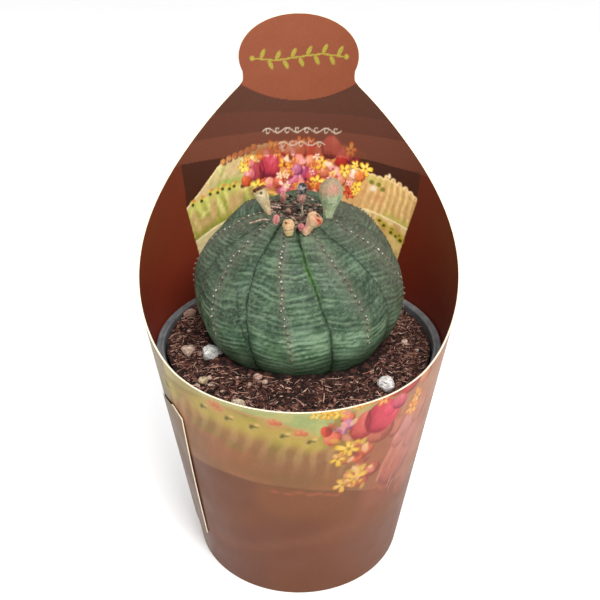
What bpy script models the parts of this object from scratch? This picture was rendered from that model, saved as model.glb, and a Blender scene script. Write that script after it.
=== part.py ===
"""Potted round succulent (a melon-shaped spurge) in a thermoformed nursery pot,
wrapped in a printed card sleeve with a tall back panel.

Frame: metres, +Z up, origin on the pot's axis at the level it stands on.
-Y is the front, where the sleeve is low; +Y is the tall back panel.
"""
import math
import random

import bmesh
import bpy
from mathutils import Matrix, Vector, noise
from mathutils.bvhtree import BVHTree

MM = 0.001
GAP = 0.32 * MM                      # clearance between pieces that touch

# ---------------------------------------------------------------- pot (mm)
POT_RIM_R = 42.5                     # outside of the rolled rim, an 8.5 cm pot
POT_RIM_Z = 72.0                     # top of the rim
POT_BASE_R = 29.4                    # outside of the floor
POT_FLOOR = 1.4                      # floor thickness
POT_LIP_W = 2.3                      # width of the rim seen from above
POT_INNER_BASE_R = 28.4
POT_COLLAR_Z = 61.6                  # lower edge of the stacking collar
POT_SIDES = 48
DRAIN_R, DRAIN_HOLE_R, DRAIN_COUNT, DRAIN_SIDES = 19.5, 2.6, 6, 10

# ---------------------------------------------------------- card sleeve (mm)
CARD_T = 0.45                        # folding carton board
CARD_R0 = 33.21                      # outside radius at the bottom edge
CARD_TAPER = 0.14237                 # radius gained per mm of height
CARD_FRONT_Z = 75.0                  # height of the low front edge
CARD_NECK_Z = 137.4                  # where the head joins the shoulders
CARD_NECK_DEG = 20.2                 # half angle of the neck
HEAD_Z, HEAD_H, HEAD_W_DEG = 144.4, 12.8, 20.9   # oval head: centre, half height, half angle
# shoulder template: degrees from the middle of the back, height of the edge
SHOULDER = ((21.6, 136.0), (45.7, 119.0), (66.6, 106.2), (90.0, 93.8), (106.0, 86.3),
            (121.0, 80.2), (133.0, 77.3), (150.0, 75.8), (180.0, 75.0))
TAB_FROM_DEG, TAB_TO_DEG = 52.0, 74.0            # overlap tab, left of the front middle
TAB_Z0, TAB_Z1, TAB_T = 13.0, 61.0, 0.45

# -------------------------------------------------------------- potting soil
SOIL_Z = 70.9                        # level at the pot's wall
SOIL_MOUND, SOIL_MOUND_R = 1.6, 25.0 # heaped up round the plant, inside this radius
SOIL_TILT = (-0.016, 0.012)          # mm of rise per mm towards -X and +Y

# ------------------------------------------------------- succulent body (mm)
BODY_R = 30.2                        # across the rib crests, half
BODY_H = 25.1                        # half height of the round part
BODY_Z = 89.3                        # height of the widest girth
BODY_FULL = 2.3                      # fullness of the lower half, 2 is an ellipsoid
RIBS = 8
FRONT_CREST = -9.0                   # azimuth of the front crest, + towards +X
FRONT_STEP, REAR_STEP = 40.0, 50.0   # the five front ribs are narrower than the rear ones
REAR_RISE, REAR_CREST = 1.3, 171.0   # the rear ribs stand higher round the crown
GROOVE = 0.050                       # depth of the seams over the radius
CROWN_DIP, CROWN_DIP_R = 5.7, 8.6    # sunken growing point
CROWN_LEAN = (-0.8, 3.2)             # the crown leans back a little
ROOT_END_Z = 50.0                    # end of the thick tap root in the soil


def clear_scene():
    for ob in list(bpy.data.objects):
        bpy.data.objects.remove(ob, do_unlink=True)


def material(name, colour, rough, metal=0.0):
    mat = bpy.data.materials.new(name)
    mat.use_nodes = True
    bsdf = mat.node_tree.nodes["Principled BSDF"]
    bsdf.inputs["Base Color"].default_value = (*colour, 1.0)
    bsdf.inputs["Roughness"].default_value = rough
    bsdf.inputs["Metallic"].default_value = metal
    return mat


def finish(name, bm, mat, smooth=40.0):
    bmesh.ops.recalc_face_normals(bm, faces=bm.faces[:])
    if bm.calc_volume(signed=True) < 0.0:
        bmesh.ops.reverse_faces(bm, faces=bm.faces[:])
    me = bpy.data.meshes.new(name)
    bm.to_mesh(me)
    bm.free()
    me.shade_smooth()
    me.set_sharp_from_angle(angle=math.radians(smooth))
    me.materials.append(mat)
    ob = bpy.data.objects.new(name, me)
    bpy.context.scene.collection.objects.link(ob)
    return ob


def spin_profile(bm, profile, sides):
    """Turn a profile of (radius, height) about the Z axis into a closed skin."""
    verts = [bm.verts.new((max(r, 0.0), 0.0, z)) for r, z in profile]
    edges = [bm.edges.new((a, b)) for a, b in zip(verts, verts[1:])]
    bmesh.ops.spin(bm, geom=verts + edges, cent=(0, 0, 0), axis=(0, 0, 1),
                   angle=2.0 * math.pi, steps=sides, use_merge=True)
    bmesh.ops.remove_doubles(bm, verts=bm.verts[:], dist=1e-6)
    bmesh.ops.dissolve_degenerate(bm, edges=bm.edges[:], dist=1e-7)


# ------------------------------------------------------------------ the pot
def make_pot(mat):
    rr, rz, lip = POT_RIM_R, POT_RIM_Z, POT_LIP_W
    inner_top = rr - lip
    prof = [(POT_BASE_R - 0.8, 0), (POT_BASE_R, 0.8),
            (inner_top - 2.6, POT_COLLAR_Z),
            (rr - 1.5, POT_COLLAR_Z + 0.3), (rr - 1.0, POT_COLLAR_Z + 1.4),
            (rr, rz - 1.6), (rr, rz - 0.4), (rr - 0.4, rz),
            (inner_top + 0.4, rz), (inner_top, rz - 0.4),
            (inner_top - 0.5, rz - 6.0), (POT_INNER_BASE_R, POT_FLOOR)]
    bm = bmesh.new()
    spin_profile(bm, [(r * MM, z * MM) for r, z in prof], POT_SIDES)
    # floor: the two discs are filled round the drain holes, then the holes get walls
    rims = {}
    for z, outer in ((0.0, POT_BASE_R - 0.8), (POT_FLOOR, POT_INNER_BASE_R)):
        edge = [e for e in bm.edges if e.is_boundary
                and all(abs(v.co.z - z * MM) < 1e-6 for v in e.verts)]
        rims[z] = []
        for k in range(DRAIN_COUNT):
            a = 2.0 * math.pi * (k + 0.5) / DRAIN_COUNT
            ring = []
            for i in range(DRAIN_SIDES):
                b = 2.0 * math.pi * i / DRAIN_SIDES
                ring.append(bm.verts.new(((DRAIN_R * math.cos(a) + DRAIN_HOLE_R * math.cos(b)) * MM,
                                          (DRAIN_R * math.sin(a) + DRAIN_HOLE_R * math.sin(b)) * MM,
                                          z * MM)))
            for i in range(DRAIN_SIDES):
                edge.append(bm.edges.new((ring[i], ring[(i + 1) % DRAIN_SIDES])))
            rims[z].append(ring)
        bmesh.ops.triangle_fill(bm, use_beauty=True, use_dissolve=False, edges=edge,
                                normal=(0, 0, 1))
    for low, high in zip(rims[0.0], rims[POT_FLOOR]):
        for i in range(DRAIN_SIDES):
            j = (i + 1) % DRAIN_SIDES
            bm.faces.new((low[i], low[j], high[j], high[i]))
    return finish("pot", bm, mat, 35.0)


def pot_inner_radius(z):
    """Inside radius of the pot at height z, mm."""
    top = POT_RIM_R - POT_LIP_W - 0.5
    f = (z - POT_FLOOR) / (POT_RIM_Z - 6.0 - POT_FLOOR)
    if f <= 1.0:
        return POT_INNER_BASE_R + (top - POT_INNER_BASE_R) * f
    return top + 0.5 * min(1.0, (z - (POT_RIM_Z - 6.0)) / 5.6)


# ---------------------------------------------------------- succulent body
def rib_azimuth(q):
    """Azimuth of rib coordinate q: crests at whole numbers, seams midway."""
    if -2.0 <= q <= 2.0:
        return FRONT_CREST + FRONT_STEP * q
    q = q if q > 2.0 else q + RIBS
    return FRONT_CREST + 2.0 * FRONT_STEP + REAR_STEP * (q - 2.0)


def body_point(t, q):
    """Point of the plant's skin, mm. t runs from -90 (root end) to 90 (crown);
    q is the rib coordinate round the body."""
    ta = math.radians(max(t, -45.0))
    c, s = math.cos(ta), math.sin(ta)
    power = 2.0 / BODY_FULL if t < 0.0 else 1.0
    r = BODY_R * c ** power
    z = BODY_Z + BODY_H * math.copysign(abs(s) ** power, s)
    groove = GROOVE
    if t < -45.0:
        u = min(1.0, (-45.0 - t) / 41.0)
        span = z - ROOT_END_Z
        d = span * u
        r = r - 1.203 * d + (4.0 - r + 1.203 * span) * u * u
        z -= d
        groove *= (1.0 - u)
        if t < -86.5:
            r = 0.0
            z -= 1.2
    phi = rib_azimuth(q)
    seam = 1.0 - abs(math.cos(math.pi * q))
    up = max(0.0, s)
    # the seams are sharp grooves, deeper towards the crown
    r *= 1.0 - groove * seam * (0.55 + 0.45 * up) - 0.012 * seam * seam
    if t > 0.0:
        z -= CROWN_DIP * math.exp(-(r / CROWN_DIP_R) ** 2)
        z -= 0.9 * seam * math.exp(-((r - 12.0) / 7.0) ** 2)
        z += (REAR_RISE * math.exp(-((r - 15.0) / 8.0) ** 2)
              * max(0.0, math.cos(math.radians(phi - REAR_CREST))))
    cx, cy = CROWN_LEAN[0] * up ** 3, CROWN_LEAN[1] * up ** 3
    a = math.radians(phi)
    return Vector((cx + r * math.sin(a), cy - r * math.cos(a), z))


def body_radius(z):
    """Radius across the crests at height z in the lower half, mm."""
    lo, hi = -86.0, 0.0
    for _ in range(40):
        mid = (lo + hi) / 2.0
        if body_point(mid, 0.0).z < z:
            lo = mid
        else:
            hi = mid
    p = body_point(hi, 0.0)
    return math.hypot(p.x, p.y)


def make_body(mat):
    bm = bmesh.new()
    cols, rows = RIBS * 6, 32
    bmesh.ops.create_uvsphere(bm, u_segments=cols, v_segments=rows, radius=1.0)
    for v in bm.verts:
        t = math.degrees(math.asin(max(-1.0, min(1.0, v.co.z))))
        # even steps of t, tightened towards the crown
        t = t if t < 0 else 90.0 * (1.0 - (1.0 - t / 90.0) ** 1.12)
        q = math.atan2(v.co.x, -v.co.y) / (2.0 * math.pi) * RIBS
        q = round(q * 6.0) / 6.0
        v.co = body_point(t, q) * MM
    return finish("succulent_body", bm, mat, 50.0)


# ------------------------------------------------------------- potting soil
def soil_level(x, y):
    """Soil surface, mm, heaped round the plant and banked to the rear left."""
    f = min(1.0, max(0.0, (math.hypot(x, y) - SOIL_MOUND_R) / 14.0))
    f = f * f * (3.0 - 2.0 * f)
    return SOIL_Z + SOIL_MOUND * (1.0 - f) + SOIL_TILT[0] * x + SOIL_TILT[1] * y


def make_soil(mat):
    bm = bmesh.new()
    n = 48
    rim = pot_inner_radius(SOIL_Z - 1.5) - 0.55
    low = POT_FLOOR + GAP / MM
    crest = SOIL_Z + SOIL_MOUND
    prof = [(0, low), (pot_inner_radius(low) - 0.5, low)]
    prof += [(r, crest) for r in (rim, rim - 3.5, rim - 7.0, rim - 10.5)]
    prof += [(body_radius(crest + 0.4) + 0.55, crest)]
    prof += [(body_radius(z) + 0.6, z) for z in (69.0, 66.0, 62.0, 58.0, 54.0, 51.0)]
    prof += [(body_radius(51.0) + 0.2, ROOT_END_Z - 1.9), (0, ROOT_END_Z - 1.9)]
    spin_profile(bm, [(r * MM, z * MM) for r, z in prof], n)
    for v in bm.verts:
        x, y, z = v.co / MM
        if z > crest - 0.1:
            v.co.z = soil_level(x, y) * MM
    return finish("potting_soil", bm, mat, 50.0)


# -------------------------------------------------------------- card sleeve
def template(stations, x):
    """Smooth monotone curve through the template's stations."""
    pts = list(stations)
    n = len(pts)
    slope = []
    for i in range(n - 1):
        slope.append((pts[i + 1][1] - pts[i][1]) / (pts[i + 1][0] - pts[i][0]))
    tang = [slope[0]]
    for i in range(1, n - 1):
        a, b = slope[i - 1], slope[i]
        tang.append(0.0 if a * b <= 0 else 2.0 * a * b / (a + b))
    tang.append(0.0)
    x = max(pts[0][0], min(pts[-1][0], x))
    for i in range(n - 1):
        if x <= pts[i + 1][0]:
            h = pts[i + 1][0] - pts[i][0]
            s = (x - pts[i][0]) / h
            y0, y1, m0, m1 = pts[i][1], pts[i + 1][1], tang[i] * h, tang[i + 1] * h
            return ((1 + 2 * s) * (1 - s) ** 2 * y0 + s * (1 - s) ** 2 * m0
                    + s * s * (3 - 2 * s) * y1 + s * s * (s - 1) * m1)
    return pts[-1][1]


def sleeve_point(theta, z, out):
    """theta in degrees from the middle of the back, out = mm from the outer face."""
    r = CARD_R0 + CARD_TAPER * z + out
    a = math.radians(theta)
    return Vector((r * math.sin(a), r * math.cos(a), z)) * MM


def head_half_angle(z):
    """Half angle of the oval head at height z, never less than the neck."""
    f = (z - HEAD_Z) / HEAD_H
    w = HEAD_W_DEG * math.sqrt(max(0.0, 1.0 - f * f))
    return max(w, CARD_NECK_DEG) if z < HEAD_Z else w


def make_sleeve(mat):
    bm = bmesh.new()
    inner_off = -CARD_T / math.cos(math.atan(CARD_TAPER))
    strip = [-1.0 + 2.0 * i / 12 for i in range(13)]
    side = [CARD_NECK_DEG + 1.4]
    n_side = 32
    for i in range(1, n_side + 1):
        side.append(side[0] + (360.0 - 2.0 * side[0]) * i / n_side)
    side = side[:-1] + [360.0 - side[0]]
    rows_z = (0.0, 24.0, 48.0, 66.0)
    head_z = [CARD_NECK_Z + (HEAD_Z + HEAD_H - 0.25 - CARD_NECK_Z) * math.sin(math.pi / 2 * i / 9.0)
              for i in range(1, 10)]

    def skin(off):
        grid = []                                     # columns, bottom to top
        for u in strip:
            th = u * CARD_NECK_DEG
            top = CARD_NECK_Z
            zs = [*rows_z, 100.0, top]
            col = [bm.verts.new(sleeve_point(th, z, off)) for z in zs]
            head = [bm.verts.new(sleeve_point(u * head_half_angle(z), z, off)) for z in head_z]
            grid.append((col, head))
        out = []
        for th in side:
            a = th if th <= 180.0 else 360.0 - th
            top = template(SHOULDER, a)
            zs = [*rows_z, 66.0 + (top - 66.0) * 0.5, top]
            out.append([bm.verts.new(sleeve_point(th, z, off)) for z in zs])
        return grid, out

    outer, inner = skin(0.0), skin(inner_off)
    quad = bm.faces.new
    n_rows = len(rows_z) + 2
    for (grid, out), flip in ((outer, False), (inner, True)):
        cols = [c for c, _ in grid] + out
        for i in range(len(cols)):
            a, b = cols[i], cols[(i + 1) % len(cols)]
            for j in range(n_rows - 1):
                f = (a[j], b[j], b[j + 1], a[j + 1])
                quad(f[::-1] if flip else f)
        for (ca, ha), (cb, hb) in zip(grid, grid[1:]):
            a, b = [ca[-1], *ha], [cb[-1], *hb]
            for j in range(len(a) - 1):
                f = (a[j], b[j], b[j + 1], a[j + 1])
                quad(f[::-1] if flip else f)
    # cut edge of the card: join the two skins all round

    def ring(which):
        grid, out = which
        top = [grid[0][0][-1], *grid[0][1]]
        top += [h[-1] for _, h in grid[1:-1]]
        top += [*reversed(grid[-1][1]), grid[-1][0][-1]]
        top += [c[-1] for c in out]
        bottom = [c[0] for c, _ in grid] + [c[0] for c in out]
        return top, bottom

    (ot, ob_), (it, ib) = ring(outer), ring(inner)
    for o, i in ((ot, it), (ob_, ib)):
        for k in range(len(o)):
            m = (k + 1) % len(o)
            quad((o[k], o[m], i[m], i[k]))
    sleeve = finish("card_sleeve", bm, mat, 30.0)

    # overlap tab lying on the outside, one end of the card over the other
    bm = bmesh.new()
    n = 5
    layers = []
    for off in (TAB_T, -CARD_T * 0.5):
        rows = []
        for z in (TAB_Z0, TAB_Z1):
            # the upper end of the tab is cut at a slant
            rows.append([bm.verts.new(sleeve_point(
                180.0 + TAB_FROM_DEG + (TAB_TO_DEG - TAB_FROM_DEG) * i / n, z, off))
                for i in range(n + 1)])
        layers.append(rows)
    (o0, o1), (i0, i1) = layers
    for k in range(n):
        quad = bm.faces.new
        quad((o0[k], o0[k + 1], o1[k + 1], o1[k]))
        quad((i0[k + 1], i0[k], i1[k], i1[k + 1]))
        quad((o1[k], o1[k + 1], i1[k + 1], i1[k]))
        quad((o0[k + 1], o0[k], i0[k], i0[k + 1]))
    for k in (0, n):
        bm.faces.new((o0[k], o1[k], i1[k], i0[k]))
    tab = finish("sleeve_tab_cutter", bm, mat)
    tab.display_type = "WIRE"
    tab.hide_render = True
    mod = sleeve.modifiers.new("tab", "BOOLEAN")
    mod.operation = "UNION"
    mod.object = tab
    return sleeve


# ----------------------------------------------------- pieces on the crown
def body_tree(body):
    bm = bmesh.new()
    bm.from_mesh(body.data)
    tree = BVHTree.FromBMesh(bm)
    bm.free()
    return tree


def skin_at(tree, x, y):
    hit, normal, _, _ = tree.ray_cast(Vector((x * MM, y * MM, 0.2)), Vector((0, 0, -1)))
    return hit, normal


def along(path, s):
    """Point and direction on a smooth path of 3 or 4 points, s from 0 to 1."""
    n = len(path) - 1
    def bez(q):
        pts = [p.copy() for p in path]
        while len(pts) > 1:
            pts = [a.lerp(b, q) for a, b in zip(pts, pts[1:])]
        return pts[0]
    p = bez(s)
    d = bez(min(1.0, s + 0.01)) - bez(max(0.0, s - 0.01))
    return p, d.normalized()


def stalk(name, tree, foot, tip, bow, profile, mat, sides=12, squash=1.0):
    """A turned shape laid along a bowed centre line that starts on the skin.

    foot is (x, y) on the crown and tip (x, y, z), mm; bow moves the middle;
    profile is a tuple of (fraction of the length, radius mm)."""
    r0 = profile[1][1]
    p, nrm = skin_at(tree, *foot)
    tip = Vector(tip) * MM
    start = p + nrm * (GAP * 1.15 + r0 * MM)
    axis = (tip - start).normalized()
    start = start - axis * (r0 * MM)
    path = [start, (start + tip) / 2 + Vector(bow) * MM, tip]
    length = (tip - start).length
    bm = bmesh.new()
    spin_profile(bm, [(r * MM, s * 0.1) for s, r in profile], sides)
    for v in bm.verts:
        s = v.co.z / 0.1
        c, d = along(path, min(1.0, max(0.0, s)))
        c = c + d * (length * (s - min(1.0, max(0.0, s))))
        side = d.cross(Vector((0.2, 1.0, 0.1))).normalized()
        up = side.cross(d).normalized()
        v.co = c + side * v.co.x + up * (v.co.y * squash)
    return finish(name, bm, mat, 45.0)


def dome(r):
    """Rounded foot of radius r for a stalk of unit length."""
    return ((0.0, 0.0), (0.012, r * 0.8), (0.045, r))


CUP = (*dome(0.75), (0.22, 0.95), (0.45, 1.30), (0.66, 1.78), (0.82, 1.98), (0.93, 1.9),
       (1.0, 1.55), (0.985, 1.15), (0.90, 1.0), (0.86, 0.55), (0.85, 0.0))
BARREL = (*dome(0.85), (0.18, 1.12), (0.42, 1.50), (0.66, 1.62), (0.86, 1.42), (0.97, 1.0),
          (1.0, 0.72), (0.93, 0.5), (0.86, 0.42), (0.84, 0.0))
CLUB = (*dome(0.95), (0.20, 1.15), (0.40, 1.2), (0.58, 1.75), (0.76, 2.25), (0.92, 1.95),
        (1.0, 1.25), (0.97, 0.8), (0.93, 0.0))
POD = (*dome(1.15), (0.14, 1.35), (0.27, 1.6), (0.40, 2.35), (0.55, 3.05), (0.68, 3.3),
       (0.80, 3.05), (0.91, 2.25), (0.97, 1.4), (1.0, 0.55), (1.004, 0.0))
BUD = (*dome(0.55), (0.22, 0.72), (0.45, 0.98), (0.66, 1.0), (0.85, 0.75), (0.96, 0.38), (1.0, 0.0))
WITHERED = ((0.0, 0.0), (0.008, 0.26), (0.03, 0.3), (0.2, 0.31), (0.36, 0.38), (0.46, 0.78),
            (0.58, 1.22), (0.68, 1.08), (0.74, 0.92), (0.84, 1.38), (0.94, 1.3), (1.0, 0.7), (1.0, 0.0))
KNOB = ((0.0, 0.0), (0.06, 0.45), (0.3, 0.72), (0.6, 0.74), (0.86, 0.5), (1.0, 0.0))


def make_twig(name, tree, ends, lift, mat, r=0.27):
    """A dry flower stalk lying over the crown: a bevelled curve, filled caps."""
    (x0, y0), (x1, y1) = ends
    n = 9
    pts = []
    for i in range(n):
        s = i / (n - 1)
        x, y = x0 + (x1 - x0) * s, y0 + (y1 - y0) * s
        x += 0.22 * math.sin(5.1 * s + x0)
        y += 0.18 * math.sin(6.3 * s + y0)
        p, nrm = skin_at(tree, x, y)
        pts.append((x * MM, y * MM, p.z + GAP + (r + 0.12) * MM + lift * MM
                    * (0.4 + 0.6 * math.sin(math.pi * s))))
    # one smooth arch, so that the twig spans the seams
    zmid = max(p[2] for p in pts)
    pts = [(x, y, z * 0.35 + 0.65 * max(z, zmid - 0.35 * MM)) for x, y, z in pts]
    cu = bpy.data.curves.new(name, "CURVE")
    cu.dimensions = "3D"
    cu.bevel_depth = r * MM
    cu.bevel_resolution = 1
    cu.use_fill_caps = True
    sp = cu.splines.new("POLY")
    sp.points.add(n - 1)
    for q, p in zip(sp.points, pts):
        q.co = (*p, 1.0)
        q.radius = 1.0
    ob = bpy.data.objects.new(name, cu)
    ob.data.materials.append(mat)
    bpy.context.scene.collection.objects.link(ob)
    return ob


def make_stone(name, at, size, seed, mat, detail=2, rough=0.22, turn=0.0):
    """A small angular stone resting on the soil."""
    bm = bmesh.new()
    bmesh.ops.create_icosphere(bm, subdivisions=detail, radius=1.0)
    off = Vector((seed * 3.7, seed * 1.3, seed * 2.1))
    for v in bm.verts:
        d = v.co.normalized()
        v.co = d * (1.0 + rough * noise.noise(d * 1.7 + off) + 0.5 * rough * noise.noise(d * 4.0 + off))
        v.co.z = max(v.co.z, -0.72)
    rot = Matrix.Rotation(math.radians(turn), 3, "Z")
    low = min(v.co.z for v in bm.verts)
    x, y = at
    base = max(soil_level(x + dx, y + dy) for dx in (-size[0] / 2, size[0] / 2)
               for dy in (-size[1] / 2, size[1] / 2))
    for v in bm.verts:
        p = Vector((v.co.x * size[0] / 2, v.co.y * size[1] / 2, (v.co.z - low) * size[2] / 2))
        p = rot @ p
        v.co = (p + Vector((x, y, base))) * MM + Vector((0, 0, GAP))
    return finish(name, bm, mat, 30.0)


def main():
    clear_scene()
    random.seed(7)
    grey = material("pot_grey_plastic", (0.22, 0.225, 0.23), 0.45)
    card = material("printed_card", (0.24, 0.09, 0.055), 0.38)
    soil = material("dark_peat", (0.035, 0.020, 0.014), 0.95)
    skin = material("plant_skin", (0.09, 0.17, 0.11), 0.55)
    cream = material("dried_cup", (0.50, 0.40, 0.27), 0.7)
    pink = material("pink_bud", (0.48, 0.20, 0.20), 0.6)
    pod = material("seed_pod_skin", (0.25, 0.28, 0.19), 0.6)
    dry = material("withered_flower", (0.32, 0.24, 0.22), 0.8)
    twig = material("dry_stalk", (0.26, 0.18, 0.11), 0.85)
    tan = material("tan_pumice", (0.48, 0.37, 0.27), 0.9)
    white = material("white_perlite", (0.72, 0.70, 0.68), 0.9)

    make_pot(grey)
    make_soil(soil)
    body = make_body(skin)
    make_sleeve(card)

    tree = body_tree(body)
    stalk("flower_cup_left", tree, (-8.9, -0.2), (-11.1, 1.0, 118.6), (0.35, 0, 0), CUP, cream, 14)
    stalk("flower_cup_front", tree, (-2.6, -13.8), (-2.8, -13.6, 114.8), (0, -0.3, 0), BARREL, cream, 14)
    stalk("flower_cup_front_right", tree, (2.6, -12.2), (5.3, -12.0, 115.3), (-0.5, 0, 0.3), CLUB, cream, 14)
    stalk("seed_pod", tree, (8.3, -3.8), (9.15, -3.0, 122.4), (0, 0, 0), POD, pod, 18)
    stalk("withered_flower", tree, (1.1, 3.6), (1.05, 1.0, 119.3), (-0.5, 0, 0), WITHERED, dry, 12)
    stalk("bud_back", tree, (-4.8, 8.7), (-4.4, 8.0, 114.9), (-0.1, 0, 0), BUD, pink)
    stalk("bud_left", tree, (-5.9, -7.7), (-5.85, -6.8, 113.5), (0, 0, 0), BUD, pink)
    stalk("bud_front", tree, (0.4, -11.6), (0.6, -11.2, 112.7), (0, 0, 0), BUD, pink, 10, 0.8)
    stalk("bud_scar_left", tree, (-3.1, 4.9), (-3.1, 4.5, 111.1), (0, 0, 0), KNOB, dry, 10)
    stalk("bud_scar_right", tree, (3.7, 3.4), (3.7, 3.1, 111.1), (0, 0, 0), KNOB, cream, 10)
    make_twig("dry_stalk_left", tree, ((-13.2, -7.7), (-7.6, -6.6)), 0.1, twig)
    make_twig("dry_stalk_back", tree, ((-9.0, 6.3), (-0.4, 6.8)), 0.2, twig)
    make_twig("dry_stalk_middle", tree, ((-8.7, 4.4), (-5.2, 4.9)), 0.1, twig)

    make_stone("pumice_rear_left", (-34.6, 12.7), (4.2, 3.3, 2.8), 1, tan, 2, 0.25, 15)
    make_stone("pumice_left", (-31.7, -10.9), (3.1, 5.4, 2.6), 2, tan, 2, 0.22, 20)
    make_stone("perlite_left", (-24.9, -15.1), (5.2, 4.5, 3.8), 3, white, 3, 0.30, 35)
    make_stone("pumice_front_left", (-26.2, -24.4), (3.4, 2.6, 2.2), 4, tan, 2, 0.3, 70)
    make_stone("pumice_front", (-11.0, -26.3), (2.6, 2.2, 1.8), 5, tan, 2, 0.3, 0)
    make_stone("pumice_front_edge", (-16.0, -34.2), (4.2, 2.8, 2.4), 6, tan, 2, 0.25, -25)
    make_stone("perlite_right", (23.8, -25.8), (5.0, 4.8, 3.8), 7, white, 3, 0.12, 0)
    make_stone("pumice_right", (31.6, -3.2), (1.9, 1.6, 1.3), 8, tan, 2, 0.3, 0)


main()
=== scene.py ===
"""Looks of the potted round succulent in its picture sleeve."""
import math

import bmesh
import bpy
import numpy as np
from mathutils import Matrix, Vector


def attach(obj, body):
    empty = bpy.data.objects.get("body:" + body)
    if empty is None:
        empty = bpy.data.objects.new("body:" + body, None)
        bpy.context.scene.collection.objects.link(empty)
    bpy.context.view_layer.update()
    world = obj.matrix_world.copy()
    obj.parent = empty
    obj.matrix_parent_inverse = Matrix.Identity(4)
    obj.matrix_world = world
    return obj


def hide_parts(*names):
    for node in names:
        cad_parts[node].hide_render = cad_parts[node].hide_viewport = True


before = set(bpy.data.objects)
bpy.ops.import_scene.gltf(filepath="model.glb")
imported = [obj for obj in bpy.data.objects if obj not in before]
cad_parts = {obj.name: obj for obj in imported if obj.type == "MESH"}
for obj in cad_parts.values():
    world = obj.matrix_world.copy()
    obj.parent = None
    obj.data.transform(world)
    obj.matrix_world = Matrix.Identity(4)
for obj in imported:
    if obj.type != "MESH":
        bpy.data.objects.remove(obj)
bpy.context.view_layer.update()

MM = 0.001
rng = np.random.default_rng(20)
TAU = 2.0 * math.pi


# =====================================================================
# small tools
# =====================================================================
def lin(r, g, b):
    c = np.array([r, g, b], float) / 255.0
    return np.where(c <= 0.04045, c / 12.92, ((c + 0.055) / 1.055) ** 2.4)


def mix(a, b, w):
    w = np.clip(w, 0.0, 1.0)[..., None]
    return a * (1.0 - w) + b * w


def sstep(a, b, x):
    t = np.clip((x - a) / (b - a), 0.0, 1.0)
    return t * t * (3.0 - 2.0 * t)


def _hash(ix, iy, iz, seed):
    h = (ix * 374761393 + iy * 668265263 + iz * 1440662683 + seed * 974634777) & 0xFFFFFFFF
    h = ((h ^ (h >> 13)) * 1274126177) & 0xFFFFFFFF
    h = h ^ (h >> 16)
    return (h & 0xFFFFF) / float(0xFFFFF)


def noise3(p, seed=0):
    """Smooth value noise of points (n, 3), 0 to 1."""
    i = np.floor(p).astype(np.int64)
    f = p - i
    f = f * f * f * (f * (f * 6 - 15) + 10)
    out = 0.0
    for dx in (0, 1):
        wx = f[:, 0] if dx else 1 - f[:, 0]
        for dy in (0, 1):
            wy = f[:, 1] if dy else 1 - f[:, 1]
            for dz in (0, 1):
                wz = f[:, 2] if dz else 1 - f[:, 2]
                out = out + wx * wy * wz * _hash(i[:, 0] + dx, i[:, 1] + dy, i[:, 2] + dz, seed)
    return out


def fbm(p, octaves=4, seed=0, gain=0.5):
    total, amp, norm = 0.0, 1.0, 0.0
    for k in range(octaves):
        total = total + amp * noise3(p * (2.03 ** k) + 7.3 * k, seed + k)
        norm += amp
        amp *= gain
    return total / norm


def p3(*cols):
    return np.stack([np.broadcast_to(np.asarray(c, float), np.shape(cols[0])).ravel() for c in cols], 1)


def mesh_object(name, verts, quads=None, tris=None, colour=None, floats=None, smooth=True, mat=None,
                weld=0.0, tint=(0.70, 0.70, 0.70)):
    """A mesh from arrays: verts in metres, colour per vertex in linear light."""
    faces, sizes = [], []
    if quads is not None and len(quads):
        faces.append(np.asarray(quads, np.int32).ravel())
        sizes.append(np.full(len(quads), 4, np.int32))
    if tris is not None and len(tris):
        faces.append(np.asarray(tris, np.int32).ravel())
        sizes.append(np.full(len(tris), 3, np.int32))
    loops = np.concatenate(faces)
    sizes = np.concatenate(sizes)
    starts = np.concatenate([[0], np.cumsum(sizes)[:-1]]).astype(np.int32)
    me = bpy.data.meshes.new(name)
    me.vertices.add(len(verts))
    me.vertices.foreach_set("co", np.asarray(verts, np.float32).ravel())
    me.loops.add(len(loops))
    me.loops.foreach_set("vertex_index", loops)
    me.polygons.add(len(sizes))
    me.polygons.foreach_set("loop_start", starts)
    me.update(calc_edges=True)
    me.validate()
    if colour is not None:
        at = me.color_attributes.new("Col", "FLOAT_COLOR", "POINT")
        rgba = np.ones((len(verts), 4), np.float32)
        rgba[:, :3] = np.clip(colour * np.asarray(tint), 0.0, 1.0)
        at.data.foreach_set("color", rgba.ravel())
    for key, val in (floats or {}).items():
        at = me.attributes.new(key, "FLOAT", "POINT")
        at.data.foreach_set("value", np.asarray(val, np.float32))
    me.polygons.foreach_set("use_smooth", np.full(len(me.polygons), smooth))
    ob = bpy.data.objects.new(name, me)
    bpy.context.scene.collection.objects.link(ob)
    if mat:
        me.materials.append(mat)
    if weld:
        bm = bmesh.new()
        bm.from_mesh(me)
        bmesh.ops.remove_doubles(bm, verts=bm.verts[:], dist=weld)
        bm.to_mesh(me)
        bm.free()
    return ob


def grid_quads(nr, nc, wrap=False, base=0, flip=False):
    """Quads of a grid stored row by row, nr rows by nc columns."""
    r = np.arange(nr - 1)[:, None]
    c = np.arange(nc if wrap else nc - 1)[None, :]
    c2 = (c + 1) % nc
    a, b = r * nc + c, r * nc + c2
    d, e = (r + 1) * nc + c, (r + 1) * nc + c2
    q = np.stack([a, b, e, d], -1).reshape(-1, 4) + base
    return q[:, ::-1] if flip else q


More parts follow.
